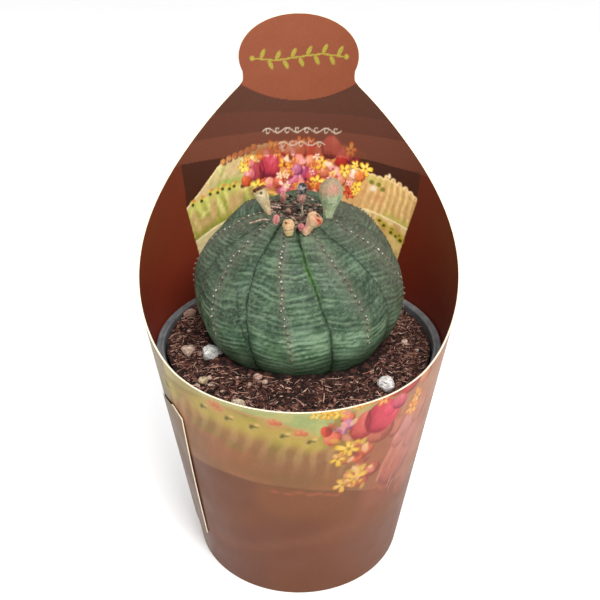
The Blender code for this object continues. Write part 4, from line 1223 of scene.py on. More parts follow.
def stone(name, node, at, size, turn, seed, tones_, slot, mat, shape=None, rough=0.18, lift=0.0, pits=0.10):
    d = ivs.copy()
    n1 = fbm(d * 1.3 + seed * 3.1, 3, seed) - 0.5
    n2 = fbm(d * 4.5 + seed, 3, seed + 50) - 0.5
    n3 = fbm(d * 15.0 + seed, 2, seed + 90) - 0.5
    # a few flat faces, as a broken stone has
    g_ = np.random.default_rng(seed)
    rad_ = 1.0 + rough * 2.2 * n1 + rough * 0.8 * n2 + pits * 0.8 * n3
    for _ in range(9):
        nf = g_.standard_normal(3)
        nf /= np.linalg.norm(nf)
        lim = 0.72 + 0.26 * g_.random()
        dist = d @ nf
        rad_ = np.where(dist * rad_ > lim, 0.25 * rad_ + 0.75 * lim / np.maximum(dist, 0.2), rad_)
    v = d * rad_[:, None]
    if shape is not None:
        v = shape(v)
    v[:, 2] = np.maximum(v[:, 2], -0.8)
    v = v * np.array(size) / 2.0
    a = math.radians(turn)
    v = v @ np.array([[math.cos(a), math.sin(a), 0], [-math.sin(a), math.cos(a), 0], [0, 0, 1]])
    low = v[:, 2].min()
    base = top_of_soil(*at) - 0.15 + lift
    nz = fbm(v / 0.9 + seed, 3, seed + 7)
    nf_ = fbm(v / 0.28 + seed, 2, seed + 8)
    c = mix(np.broadcast_to(lin(*tones_[0]), (len(v), 3)), lin(*tones_[1]), sstep(0.35, 0.68, nz))
    c = mix(c, lin(*tones_[2]), 0.8 * sstep(0.60, 0.72, nf_))
    c = mix(c, lin(70, 48, 40), 0.55 * (1 - sstep(0.0, 0.7, v[:, 2] - low)))
    v = v + np.array([at[0], at[1], base - low])
    c = mix(c, lin(*tones_[2]) * 0.5, 0.75 * sstep(0.68, 0.76, fbm(v / 0.55 + seed * 2.0, 2, seed + 9)) * (v[:, 2] > base + 0.6))
    ob = mesh_object(name, v * MM, None, its, c, mat=mat, tint=(0.98, 0.98, 0.98) if mat is perlite_mat else (0.84, 0.82, 0.82))
    return own(ob, slot, *([node] if node else []))


def drop(v):                                          # a teardrop with its point to the front
    k = np.clip((-v[:, 1] + 1.0) / 2.0, 0, 1)
    v = v.copy()
    v[:, 0] *= 1.15 - 0.95 * k ** 1.6
    v[:, 2] *= 1.1 - 0.55 * k
    return v


def wedge(v):                                         # a broken chip, three-sided from above
    v = v.copy()
    for ax, ay, lim in ((0.80, 0.60, 0.50), (-0.95, 0.30, 0.56), (0.10, -1.0, 0.58)):
        n_ = math.hypot(ax, ay)
        d_ = (v[:, 0] * ax + v[:, 1] * ay) / n_
        over = np.maximum(d_ - lim, 0.0) * 0.86
        v[:, 0] -= over * ax / n_
        v[:, 1] -= over * ay / n_
    return v * np.array([1.22, 1.22, 1.0])


TAN = ((206, 184, 166), (182, 154, 134), (120, 92, 76))
WHITE = ((214, 212, 208), (194, 192, 188), (132, 124, 118))
stone("tan_block_rear", "pumice_rear_left", (-34.6, 12.7), (4.4, 3.4, 3.2), 15, 11,
      ((206, 170, 152), (182, 146, 130), (112, 84, 72)), "tan_pumice", stone_mat)
stone("tan_drop_left", "pumice_left", (-31.9, -11.1), (4.3, 6.6, 3.2), 8, 12, TAN, "tan_pumice", stone_mat, drop)
stone("white_wedge_left", "perlite_left", (-24.9, -15.1), (6.0, 4.9, 4.2), 35, 13,
      ((216, 216, 212), (196, 198, 192), (140, 134, 126)), "white_perlite", perlite_mat, wedge, 0.12)
stone("tan_bit_front_left", "pumice_front_left", (-26.2, -24.4), (3.2, 2.4, 2.0), 60, 14,
      ((200, 182, 150), (160, 138, 108), (96, 78, 58)), "tan_pumice", stone_mat)
stone("tan_bit_front", "pumice_front", (-11.0, -26.3), (2.6, 2.2, 1.9), 0, 15,
      ((208, 176, 160), (176, 142, 128), (110, 82, 70)), "tan_pumice", stone_mat)
stone("tan_bit_edge", "pumice_front_edge", (-16.0, -34.2), (4.2, 2.8, 2.4), -25, 16,
      ((206, 190, 166), (172, 150, 124), (104, 84, 66)), "tan_pumice", stone_mat)
stone("white_ball_right", "perlite_right", (23.8, -25.8), (5.1, 4.9, 4.1), 0, 17,
      ((226, 222, 220), (206, 200, 198), (128, 116, 112)), "white_perlite", perlite_mat, None, 0.09, 0.0, 0.2)
stone("tan_bit_right", "pumice_right", (31.6, -3.2), (2.0, 1.7, 1.4), 0, 18,
      ((206, 178, 162), (170, 140, 124), (108, 84, 72)), "tan_pumice", stone_mat)
ivs, its = ico(4)
extra = [((-27.9, -12.2), (2.2, 1.8, 1.5), 21, TAN), ((-24.6, -22.6), (1.8, 1.5, 1.2), 22, TAN),
         ((-27.6, -25.6), (1.7, 1.3, 1.1), 23, TAN), ((-23.8, -25.6), (2.4, 1.2, 0.9), 24, TAN),
         ((-8.9, -28.0), (1.8, 1.4, 1.2), 25, TAN), ((-13.2, -27.2), (1.4, 1.1, 1.0), 26, TAN),
         ((34.9, -6.6), (1.4, 1.1, 0.9), 27, TAN), ((-12.4, -36.4), (2.0, 1.5, 1.3), 28, WHITE),
         ((-33.6, 3.4), (1.5, 1.3, 1.0), 29, TAN), ((-20.6, -29.2), (1.2, 1.0, 0.8), 30, TAN),
         ((14.0, -30.8), (1.1, 0.9, 0.8), 31, TAN), ((5.0, -33.6), (0.9, 0.8, 0.7), 32, WHITE)]
for i, (at, size, seed, tn) in enumerate(extra):
    stone(f"soil_pebble_{i}", None, at, size, seed * 37 % 180, seed, tn, "tan_pumice", stone_mat)

# =====================================================================
# nursery pot
# =====================================================================
rr_, rz_, lip_ = POT_RIM_R, POT_RIM_Z, POT_LIP_W
it_r = rr_ - lip_
prof = [(it_r + 0.0, rz_ - 0.55), (it_r + 0.12, rz_ - 0.16), (it_r + 0.42, rz_ - 0.01), (it_r + 0.78, rz_ - 0.03),
        (it_r + 0.96, rz_ - 0.22), (it_r + 1.10, rz_ - 0.34), (it_r + 1.26, rz_ - 0.34), (it_r + 1.40, rz_ - 0.20),
        (it_r + 1.58, rz_ - 0.01), (it_r + 1.92, rz_), (it_r + 2.18, rz_ - 0.14), (rr_, rz_ - 0.45),
        (rr_ - 0.02, rz_ - 1.6), (rr_ - 0.30, rz_ - 3.6), (rr_ - 0.32, rz_ - 4.0), (rr_ - 0.62, rz_ - 6.6),
        (rr_ - 1.0, POT_COLLAR_Z + 1.4), (rr_ - 1.3, POT_COLLAR_Z + 0.5), (rr_ - 1.6, POT_COLLAR_Z + 0.28),
        (it_r - 2.4, POT_COLLAR_Z + 0.04), (it_r - 2.68, POT_COLLAR_Z - 0.3)]
zs_ = np.linspace(POT_COLLAR_Z - 1.0, 1.2, 34)
sl = ((it_r - 2.6) - POT_BASE_R) / (POT_COLLAR_Z - 0.8)
prof += [(POT_BASE_R + sl * (z - 0.8) - 0.06, float(z)) for z in zs_]
prof += [(POT_BASE_R - 0.05, 0.7), (POT_BASE_R - 0.3, 0.2), (POT_BASE_R - 0.75, 0.0), (POT_BASE_R - 1.8, 0.0),
         (POT_BASE_R - 2.2, 0.45)]
prof_in = [(it_r + 0.0, rz_ - 0.55), (it_r - 0.06, rz_ - 1.2), (it_r - 0.45, rz_ - 5.6), (it_r - 0.52, rz_ - 6.4)]
prof_in += [(pot_inner_radius(float(z)) - 0.0, float(z)) for z in np.linspace(rz_ - 8.0, POT_FLOOR + 0.8, 20)]
prof_in += [(POT_INNER_BASE_R - 0.4, POT_FLOOR + 0.1)]
NA_P = 240
pang = np.arange(NA_P) / NA_P * TAU
pot_pile = Pile()
for pr_, flip in ((prof, True), (prof_in, False)):
    pr_ = np.array(pr_)
    PR, PA = np.meshgrid(pr_[:, 0], pang, indexing="ij")
    PZ = np.broadcast_to(pr_[:, 1:2], PR.shape)
    wobble = 0.05 * (fbm(p3(np.sin(PA) * 3, np.cos(PA) * 3, PZ / 20.0), 2, 111).reshape(PR.shape) - 0.5)
    v = np.stack([(PR + wobble) * np.sin(PA), -(PR + wobble) * np.cos(PA), PZ], -1).reshape(-1, 3)
    pot_pile.add(v, lin(104, 107, 110), grid_quads(len(pr_), NA_P, wrap=True, flip=flip))
# floor with drain holes: a fine disc, the holes left open, two skins joined by their walls
holes = [(19.5 * math.cos(TAU * (k + 0.5) / 6), 19.5 * math.sin(TAU * (k + 0.5) / 6)) for k in range(6)]
bm = bmesh.new()


def floor_skin(z, outer):
    rings = []
    ring = [bm.verts.new((outer * math.cos(a), outer * math.sin(a), z)) for a in pang[::2]]
    edges = [bm.edges.new((ring[i], ring[(i + 1) % len(ring)])) for i in range(len(ring))]
    for hx, hy in holes:
        hr = [bm.verts.new((hx + 2.6 * math.cos(a), hy + 2.6 * math.sin(a), z)) for a in pang[::8]]
        edges += [bm.edges.new((hr[i], hr[(i + 1) % len(hr)])) for i in range(len(hr))]
        rings.append(hr)
    bmesh.ops.triangle_fill(bm, use_beauty=True, use_dissolve=False, edges=edges, normal=(0, 0, 1))
    return rings


lowr = floor_skin(0.45, POT_BASE_R - 2.2)
highr = floor_skin(POT_FLOOR, POT_INNER_BASE_R - 0.4)
for a_, b_ in zip(lowr, highr):
    for i in range(len(a_)):
        j = (i + 1) % len(a_)
        bm.faces.new((a_[i], a_[j], b_[j], b_[i]))
bmesh.ops.recalc_face_normals(bm, faces=bm.faces[:])
bm.verts.ensure_lookup_table()
bm.verts.index_update()
fv = np.array([x.co[:] for x in bm.verts])
ft = [[x.index for x in f.verts] for f in bm.faces]
bm.free()
pot_pile.add(fv, lin(104, 107, 110), q=np.array([f for f in ft if len(f) == 4]),
             t=np.array([f for f in ft if len(f) == 3]))
own(pot_pile.build("nursery_pot", mat_plastic()), "pot_grey_plastic", "pot")

# =====================================================================
# printed card sleeve
# =====================================================================
CARD_T, CARD_R0, CARD_TAPER = 0.45, 33.21, 0.14237
CARD_NECK_Z, CARD_NECK_DEG = 137.4, 20.2
HEAD_Z, HEAD_H, HEAD_W_DEG = 144.4, 12.8, 20.9
SHOULDER = ((21.6, 136.0), (45.7, 119.0), (66.6, 106.2), (90.0, 93.8), (106.0, 86.3),
            (121.0, 80.2), (133.0, 77.3), (150.0, 75.8), (180.0, 75.0))
IN_OFF = -CARD_T / math.cos(math.atan(CARD_TAPER))


def template(x):
    pts = SHOULDER
    n = len(pts)
    slope = [(pts[i + 1][1] - pts[i][1]) / (pts[i + 1][0] - pts[i][0]) for i in range(n - 1)]
    tang = [slope[0]]
    for i in range(1, n - 1):
        a, b = slope[i - 1], slope[i]
        tang.append(0.0 if a * b <= 0 else 2.0 * a * b / (a + b))
    tang.append(0.0)
    x = max(pts[0][0], min(pts[-1][0], x))
    for i in range(n - 1):
        if x <= pts[i + 1][0]:
            h = pts[i + 1][0] - pts[i][0]
            s = (x - pts[i][0]) / h
            y0, y1, m0, m1 = pts[i][1], pts[i + 1][1], tang[i] * h, tang[i + 1] * h
            return ((1 + 2 * s) * (1 - s) ** 2 * y0 + s * (1 - s) ** 2 * m0
                    + s * s * (3 - 2 * s) * y1 + s * s * (s - 1) * m1)
    return pts[-1][1]


def edge_z(theta):
    """Top of the card at theta degrees from the back's middle, outside the head."""
    a = abs((theta + 180.0) % 360.0 - 180.0)
    if a <= 21.6:
        # from the neck's foot to the first station of the shoulder
        w = (a - CARD_NECK_DEG) / (21.6 - CARD_NECK_DEG)
        return CARD_NECK_Z + (136.0 - CARD_NECK_Z) * max(0.0, w)
    return template(a)


def head_half(z):
    f = (z - HEAD_Z) / HEAD_H
    w = HEAD_W_DEG * math.sqrt(max(0.0, 1.0 - f * f))
    if z < HEAD_Z:
        return max(w, CARD_NECK_DEG - 0.35 + 0.1786 * max(0.0, 138.8 - z) ** 2)
    return w


def card_xyz(theta, z, out=0.0):
    theta, z = np.broadcast_arrays(np.asarray(theta, float), np.asarray(z, float))
    r = CARD_R0 + CARD_TAPER * z + out
    a = np.radians(theta)
    return np.stack([r * np.sin(a), r * np.cos(a), z], -1)


# ----------------------------------------------------------------- the artwork
class Art:
    """Artwork on the unrolled card: th in degrees across, z in mm up."""

    def __init__(self, th, z, flip=1.0):
        self.th, self.z = th, z
        self.r = CARD_R0 + CARD_TAPER * z
        self.x = np.radians(th) * self.r          # mm across
        self.col = np.zeros((len(th), 3))
        self.pt = np.stack([self.x, z, np.zeros_like(z)], 1)

    def n(self, size, seed, octaves=3, sx=1.0, sy=1.0):
        return fbm(self.pt * np.array([sx, sy, 1.0]) / size, octaves, seed)

    def at(self, th0, z0):
        return np.radians(self.th - th0) * (CARD_R0 + CARD_TAPER * z0), self.z - z0

    def lay(self, tone, w):
        tone = np.asarray(tone, float)
        self.col = mix(self.col, np.broadcast_to(tone, self.col.shape), w)

    def bud(self, th0, z0, r, tones, seed, squash=1.0, turn=0.0, light=(-0.5, 0.6), k=1.0, streak=0.5):
        """A round flower bud: tones are (shade, body, light)."""
        X, Y = self.at(th0, z0)
        near = (np.abs(X) < r * 1.7) & (np.abs(Y) < r * 1.7)
        if not near.any():
            return
        X, Y = X[near], Y[near]
        a = math.radians(turn)
        U = (X * math.cos(a) + Y * math.sin(a)) / r
        V = (-X * math.sin(a) + Y * math.cos(a)) / (r * squash)
        wob_ = 0.16 * (fbm(np.stack([X / r * 1.3 + seed, Y / r * 1.3, np.zeros_like(X)], 1), 2, seed) - 0.5)
        rho = np.hypot(U, V) + wob_
        lx, ly = light
        shade = (U * lx + V * ly) / math.hypot(lx, ly)
        hz = np.sqrt(np.clip(1.0 - rho * rho, 0, 1))
        v = 0.45 * shade + 0.55 * hz
        streaks = fbm(np.stack([U * 5.0 + seed, V * 1.2, np.zeros_like(U)], 1), 3, seed + 5) - 0.5
        v = v + streak * streaks
        c = mix(np.broadcast_to(lin(*tones[0]), (len(X), 3)), lin(*tones[1]), sstep(-0.05, 0.45, v))
        c = mix(c, lin(*tones[2]), sstep(0.50, 0.95, v))
        rim_ = np.exp(-((rho - 0.93) / 0.10) ** 2) * sstep(-0.2, 0.7, -shade)
        c = mix(c, lin(*tones[0]) * 0.7, 0.6 * rim_)
        cover = (1.0 - sstep(0.94, 1.06, rho)) * k
        self.col[near] = mix(self.col[near], c, cover)

    def star(self, th0, z0, r, tones, seed, petals=5, k=1.0, turn=None):
        """A small open flower: tones are (shade, petal, light)."""
        X, Y = self.at(th0, z0)
        near = (np.abs(X) < r * 1.5) & (np.abs(Y) < r * 1.5)
        if not near.any():
            return
        X, Y = X[near], Y[near]
        gen = np.random.default_rng(seed)
        turn = gen.random() * TAU if turn is None else math.radians(turn)
        phi = np.arctan2(Y, X) + turn
        rho = np.hypot(X, Y) / r
        lens = 0.75 + 0.4 * gen.random(petals)
        idx = np.floor(phi / TAU * petals + 0.5).astype(int) % petals
        off = (phi / TAU * petals + 0.5) % 1.0 - 0.5
        reach = lens[idx] * (0.38 + 0.62 * np.exp(-(np.abs(off) / 0.34) ** 4.0))
        wob_ = 0.14 * (fbm(np.stack([X / r * 3 + seed, Y / r * 3, np.zeros_like(X)], 1), 2, seed) - 0.5)
        edge_ = reach + wob_ - rho
        c = mix(np.broadcast_to(lin(*tones[0]), (len(X), 3)), lin(*tones[1]), sstep(0.0, 0.22, edge_))
        c = mix(c, lin(*tones[2]), sstep(0.16, 0.45, edge_) * (0.6 + 0.4 * np.cos(phi - 2.0)))
        c = mix(c, lin(*(np.array(tones[0]) * 0.75)), 0.8 * (1 - sstep(0.10, 0.24, rho)))
        cover = sstep(-0.05, 0.06, edge_) * k
        self.col[near] = mix(self.col[near], c, cover)

    def dot(self, th0, z0, rx, rz, tone, k=1.0, soft=0.35, turn=0.0):
        X, Y = self.at(th0, z0)
        a = math.radians(turn)
        U = (X * math.cos(a) + Y * math.sin(a)) / rx
        V = (-X * math.sin(a) + Y * math.cos(a)) / rz
        rho = np.hypot(U, V)
        self.lay(lin(*tone), (1.0 - sstep(1.0 - soft, 1.0 + soft, rho)) * k)

    def stroke(self, pts, width, tone, k=1.0, soft=0.5):
        """A line through (th, z) points, width in mm."""
        d = np.full(len(self.th), 1e9)
        for (t0, z0), (t1, z1) in zip(pts, pts[1:]):
            rr0 = CARD_R0 + CARD_TAPER * (z0 + z1) / 2
            ax, ay = np.radians(self.th - t0) * rr0, self.z - z0
            bx, by = math.radians(t1 - t0) * rr0, z1 - z0
            h = np.clip((ax * bx + ay * by) / (bx * bx + by * by + 1e-9), 0, 1)
            d = np.minimum(d, np.hypot(ax - h * bx, ay - h * by))
        w_ = np.asarray(width, float) / 2
        self.lay(lin(*tone), (1.0 - sstep(w_ * (1 - soft), w_ * (1 + soft), d)) * k)

    def curve(self, pts):
        """Height of a line through (th, z) points at every place of the card."""
        t = np.array([p[0] for p in pts], float)
        z = np.array([p[1] for p in pts], float)
        m = np.gradient(z, t)
        q = np.clip(self.th, t[0], t[-1])
        i = np.clip(np.searchsorted(t, q) - 1, 0, len(t) - 2)
        h = t[i + 1] - t[i]
        s = (q - t[i]) / h
        return ((1 + 2 * s) * (1 - s) ** 2 * z[i] + s * (1 - s) ** 2 * h * m[i]
                + s * s * (3 - 2 * s) * z[i + 1] + s * s * (s - 1) * h * m[i + 1])


YEL = ((206, 120, 40), (244, 196, 66), (255, 232, 130))
ORA = ((196, 78, 40), (240, 142, 62), (252, 196, 112))
RED = ((150, 36, 38), (222, 78, 62), (250, 132, 104))
PNK = ((176, 62, 84), (226, 108, 120), (250, 184, 178))
MAG = ((140, 36, 66), (206, 64, 96), (240, 112, 140))
MAU = ((150, 70, 120), (212, 122, 172), (242, 186, 214))
SAL = ((180, 84, 62), (232, 132, 104), (250, 196, 160))


def paint_inside(th, z):
    A = Art(th, z)
    n_big, n_mid, n_fine = A.n(26.0, 201), A.n(5.0, 202), A.n(1.1, 203)
    # plain red-brown ground, painted lighter towards the bottom against the shade low in the sleeve, warmer on the left
    left = mix(np.broadcast_to(lin(146, 60, 44), (len(th), 3)), lin(126, 60, 38), sstep(72, 116, z))
    right = mix(np.broadcast_to(lin(142, 56, 42), (len(th), 3)), lin(120, 52, 34), sstep(72, 116, z))
    A.col = mix(left, right, sstep(-10, 10, th))
    # soft red-brown panel behind the words, darker band above it
    panel = (z > A.curve([(-90, 116.5), (-48.9, 114.9), (-23.1, 114.0), (28.3, 113.2), (41.3, 112.5), (90, 116)]))
    A.lay(lin(113, 69, 54), np.where(panel, 0.92, 0.0))
    band = z > A.curve([(-40, 128.6), (-28.6, 128.2), (0, 127.1), (34.6, 126.4), (60, 126.2)])
    A.lay(lin(101, 62, 47), np.where(band, 0.95, 0.0))
    A.lay(lin(98, 56, 40), 0.5 * sstep(40, 60, np.abs(th)) * panel)
    # picture field
    line2 = A.curve([(-48.9, 114.9), (-39.8, 114.5), (-23.1, 114.0), (28.3, 113.2), (41.3, 112.5), (51.5, 113.2)])
    lb = np.interp(z, [78, 84.7, 91.2, 101.1, 106.9, 114.9], [-45.2, -46.9, -48.0, -49.6, -48.9, -48.9])
    rb = np.interp(z, [78, 83.9, 93.5, 103.6, 113.8], [46.0, 47.1, 49.3, 51.9, 51.4])
    field = sstep(-0.15, 0.15, (th - lb)) * sstep(-0.15, 0.15, (rb - th)) * (z < line2)
    ground = mix(np.broadcast_to(lin(84, 45, 31), (len(th), 3)), lin(70, 36, 26), sstep(104, 92, z))
    ground = mix(ground, lin(94, 50, 34), sstep(0.5, 0.8, n_big))
    A.col = mix(A.col, ground, field)
    A.stroke([(-48.9, 114.8), (-39.8, 114.4), (-23.1, 113.9), (28.3, 113.1), (41.3, 112.4), (51.5, 113.1)], 0.5,
             (66, 36, 26), 0.55 * field)

    ground0 = A.col.copy()
    # ---- the pictured plant where the real one hides it: ribs fanning down from the flower head
    fan = np.arctan2(A.x - 2.0, 112.0 - z)
    reach = np.hypot(A.x - 2.0, 112.0 - z)
    f_no = fan / 0.42 + 0.18 * np.sin(reach / 9.0)
    f_v = np.abs(2.0 * (f_no - np.floor(f_no)) - 1.0)
    cross = 0.5 + 0.5 * np.sin(reach * TAU / 3.3 + 1.4 * f_v + 2.0 * (n_mid - 0.5))
    c_m = mix(np.broadcast_to(lin(206, 190, 118), (len(th), 3)), lin(158, 154, 70), 0.7 * cross)
    c_m = mix(c_m, lin(110, 116, 48), 0.8 * sstep(0.22, 0.0, f_v))
    c_m = mix(c_m, lin(216, 170, 120), 0.6 * sstep(0.5, 0.66, A.n(5.0, 221)))
    c_m = mix(c_m, lin(92, 84, 40), 0.6 * sstep(86, 62, z))
    top_m = A.curve([(-52, 92), (-40, 98), (-20, 102), (0, 103), (20, 103), (34, 100), (52, 92)])
    A.col = mix(A.col, c_m, field * sstep(0.4, -0.4, z - top_m))
    # ---- the pictured plant, left: two ribs with fine cross bands
    top_l = A.curve([(-52, 100.2), (-50, 101.1), (-41.6, 105.5), (-36.4, 109.1), (-31.1, 112.6), (-27.7, 113.5),
                     (-22.6, 114.9), (-17.9, 116.3), (-10.1, 117.3), (0, 117.4)])
    row_l = A.curve([(-50, 100.4), (-45.8, 101.4), (-41.4, 102.1), (-37.1, 103.4), (-33.7, 103.9), (-28.4, 104.4),
                     (-23.6, 104.2), (-20.2, 103.4), (-10, 101.8), (0, 101.0)])
    low_l = A.curve([(-50, 89.0), (-47.8, 89.3), (-42.2, 90.9), (-35.8, 92.7), (-29.8, 93.8), (-23.9, 96.0), (-10, 99)])
    scal = 0.45 * np.abs(np.sin(math.pi * (th + 50.0) / 2.55)) * sstep(-36, -30, th)
    on_l = (th < 3) * sstep(-0.12, 0.12, top_l + scal - z) * sstep(-0.15, 0.15, th - lb)
    upper = on_l * (z > row_l)
    uu = (th * 0.80 + (z - 104.0) * -0.62) + 1.2 * (n_mid - 0.5)
    bands = 0.5 + 0.5 * np.sin(uu * TAU / 2.9)
    bands = np.clip(bands + 0.9 * (n_fine - 0.5) + 0.7 * (A.n(2.4, 204) - 0.5), 0, 1)
    c_up = mix(np.broadcast_to(lin(214, 200, 146), (len(th), 3)), lin(178, 164, 98), bands * 0.8)
    c_up = mix(c_up, lin(214, 176, 138), 0.75 * sstep(0.48, 0.66, A.n(4.0, 205, sx=0.9, sy=0.5)))
    c_up = mix(c_up, lin(150, 178, 72), 0.75 * np.exp(-((z - row_l - 1.7) / 1.5) ** 2) * sstep(-39, -31, th))
    c_up = mix(c_up, lin(232, 208, 156), 0.7 * sstep(1.2, 0.2, top_l - z))
    A.col = mix(A.col, c_up, upper)
    lower = on_l * (z <= row_l) * sstep(-0.2, 0.2, z - low_l)
    ul = th * 0.80 + (z - 96.0) * 0.30 + 0.8 * (n_mid - 0.5)
    bands = np.clip(0.5 + 0.5 * np.sin(ul * TAU / 3.6) + 0.9 * (n_fine - 0.5) + 0.6 * (A.n(2.0, 206) - 0.5), 0, 1)
    c_lo = mix(np.broadcast_to(lin(216, 204, 132), (len(th), 3)), lin(164, 156, 66), bands * 0.85)
    c_lo = mix(c_lo, lin(206, 160, 116), 0.8 * sstep(0.46, 0.62, A.n(3.6, 207, sx=1.4, sy=0.5)))
    c_lo = mix(c_lo, lin(150, 150, 44), 0.8 * sstep(4.0, 0.6, z - low_l))
    c_lo = mix(c_lo, lin(196, 196, 104), 0.5 * sstep(4.0, 1.0, row_l - z))
    c_lo = mix(c_lo, lin(116, 118, 50), 0.6 * sstep(-26, -16, th))
    A.col = mix(A.col, c_lo, lower)
    under = on_l * (z < low_l) * (z > low_l - 7.5)
    c_un = mix(np.broadcast_to(lin(216, 192, 152), (len(th), 3)), lin(190, 158, 112), sstep(0.4, 0.65, n_mid))
    A.col = mix(A.col, c_un, under)
    A.stroke([(-50, 89.0), (-42.2, 90.9), (-35.8, 92.7), (-29.8, 93.8), (-23.9, 96.0)], 0.55, (240, 222, 190), 0.75 * field)
    for i, (a_, b_) in enumerate([(-45.8, 101.6), (-41.4, 102.1), (-37.1, 103.6), (-33.7, 103.5), (-31.4, 104.4),
                                  (-28.4, 104.0), (-26.3, 104.6)]):
        A.dot(a_, b_ + 0.6, 1.5, 0.9, (218, 196, 84), 0.85)
        A.dot(a_ + 0.4, b_ + 1.1, 0.8, 0.5, (222, 132, 80), 0.75)
        A.dot(a_ - 0.5, b_ - 0.1, 0.62, 0.55, (74, 84, 26), 0.95)
    A.dot(-22.9, 103.9, 1.7, 1.5, (228, 196, 130), 0.9)
    A.dot(-23.2, 104.1, 0.8, 0.65, (70, 66, 24), 0.95)
    for a_, b_ in [(-30.2, 112.8), (-27.7, 113.6), (-25.1, 114.3), (-22.6, 114.8), (-20.0, 115.5), (-17.5, 116.4)]:
        A.bud(a_, b_, 1.15, ((150, 74, 44), (214, 132, 76), (236, 182, 122)), int(abs(a_) * 10), k=0.95)

    # ---- the pictured plant, right: one broad rib and the shoulder of the next
    top_r = A.curve([(20, 110.6), (28.8, 108.8), (33.2, 108.3), (38.8, 107.9), (42.4, 107.1), (46.1, 106.4),
                     (49.5, 105.4), (51.9, 104.1)])
    low_r = A.curve([(20, 97.6), (30.0, 96.9), (35.2, 96.2), (41.9, 95.2), (49.2, 94.2), (52, 93.8)])
    scal = 0.55 * np.abs(np.sin(math.pi * (th - 29.0) / 3.05)) ** 0.7
    on_r = (th > 8) * sstep(-0.12, 0.12, top_r + scal - z) * sstep(-0.15, 0.15, rb - th)
    rib = on_r * sstep(-0.12, 0.12, z - low_r)
    ur = th - 0.22 * (z - 101.0) * (1.0 - sstep(30, 50, th)) - 0.9 * np.exp(-((z - 104.0) / 3.0) ** 2) + 1.0 * (n_mid - 0.5)
    ph = (ur - 29.0) / 3.02
    fr = ph - np.floor(ph)
    c_r = mix(np.broadcast_to(lin(212, 160, 108), (len(th), 3)), lin(232, 198, 146), sstep(0.15, 0.5, fr) * (1 - sstep(0.62, 0.9, fr)))
    c_r = mix(c_r, lin(184, 166, 78), 0.85 * np.exp(-((fr - 0.93) / 0.10) ** 2))
    c_r = mix(c_r, lin(206, 132, 96), 0.65 * np.exp(-((fr - 0.12) / 0.14) ** 2))
    c_r = mix(c_r, lin(202, 146, 104), 0.75 * sstep(33.5, 24.0, th))
    c_r = mix(c_r, lin(212, 118, 88), 0.7 * np.exp(-((th - 33.5) / 2.6) ** 2 - ((z - 101.4) / 1.8) ** 2))
    c_r = mix(c_r, lin(176, 178, 72), 0.85 * sstep(3.2, 0.4, z - low_r - 0.02 * (th - 30)) * sstep(34, 40, th))
    c_r = mix(c_r, lin(176, 182, 84), 0.75 * sstep(3.4, 1.2, top_r - z) * sstep(41, 33, th))
    c_r = mix(c_r, lin(238, 216, 174), 0.75 * sstep(1.1, 0.1, top_r + scal - z))
    c_r = mix(c_r, lin(196, 142, 96), 0.35 * sstep(0.45, 0.65, A.n(2.2, 208, sy=0.6)))
    c_r = mix(c_r, lin(222, 186, 130), 0.35)
    A.col = mix(A.col, c_r, rib)
    lobe = on_r * (z < low_r)
    c_s = mix(np.broadcast_to(lin(220, 190, 130), (len(th), 3)), lin(206, 168, 104), sstep(0.4, 0.65, n_mid))
    c_s = mix(c_s, lin(230, 204, 160), 0.8 * sstep(2.4, 0.2, low_r - z))
    c_s = mix(c_s, lin(198, 146, 96), 0.6 * sstep(0.5, 0.7, A.n(3.0, 209)))
    A.col = mix(A.col, c_s, lobe)
    A.stroke([(28, 97.1), (35.2, 96.2), (41.9, 95.2), (49.2, 94.2), (52, 93.8)], 0.5, (246, 230, 190), 0.8 * field)
    for a_, b_ in [(36.5, 108.8), (39.4, 108.2), (42.4, 107.5), (45.5, 106.7), (48.2, 105.7), (50.6, 104.6)]:
        A.dot(a_, b_, 1.0, 0.75, (240, 206, 160), 0.85)
        A.dot(a_ + 0.2, b_ - 0.2, 0.4, 0.35, (212, 132, 92), 0.7)
    for a_, b_, s_ in [(35.5, 94.3, 0.8), (37.8, 93.0, 0.9), (41.9, 92.4, 0.9), (41.6, 91.3, 0.9), (46.0, 91.0, 0.9),
                       (46.8, 89.7, 1.0), (44.2, 90.6, 0.7)]:
        A.dot(a_, b_ + 0.2, s_ * 1.7, s_ * 1.3, (200, 176, 78), 0.8)
        A.dot(a_, b_, s_ * 0.8, s_ * 0.62, (108, 104, 26), 0.95)
    for a_, b_ in [(30.1, 106.3), (33.3, 105.9), (35.3, 104.6)]:
        A.dot(a_, b_, 0.9, 0.75, (128, 138, 40), 0.9)
    A.dot(31.1, 104.3, 1.0, 0.9, (236, 226, 222), 0.85, 0.5)
    A.dot(37.6, 109.4, 0.45, 0.8, (240, 222, 196), 0.8, 0.4, 20)

    # ---- the flower head between them
    mass = np.exp(-((th - 2.0) / 19.0) ** 4) * sstep(99.6, 101.4, z) * (1 - sstep(116.4, 118.8, z + 0.004 * (th - 2) ** 2))
    base = mix(np.broadcast_to(lin(196, 84, 60), (len(th), 3)), lin(238, 150, 104), sstep(0.38, 0.62, A.n(1.7, 210)))
    base = mix(base, lin(168, 52, 52), 0.75 * sstep(0.55, 0.72, A.n(2.3, 211)))
    base = mix(base, lin(242, 196, 104), 0.6 * sstep(0.58, 0.72, A.n(1.5, 212)))
    A.col = mix(A.col, base, mass)
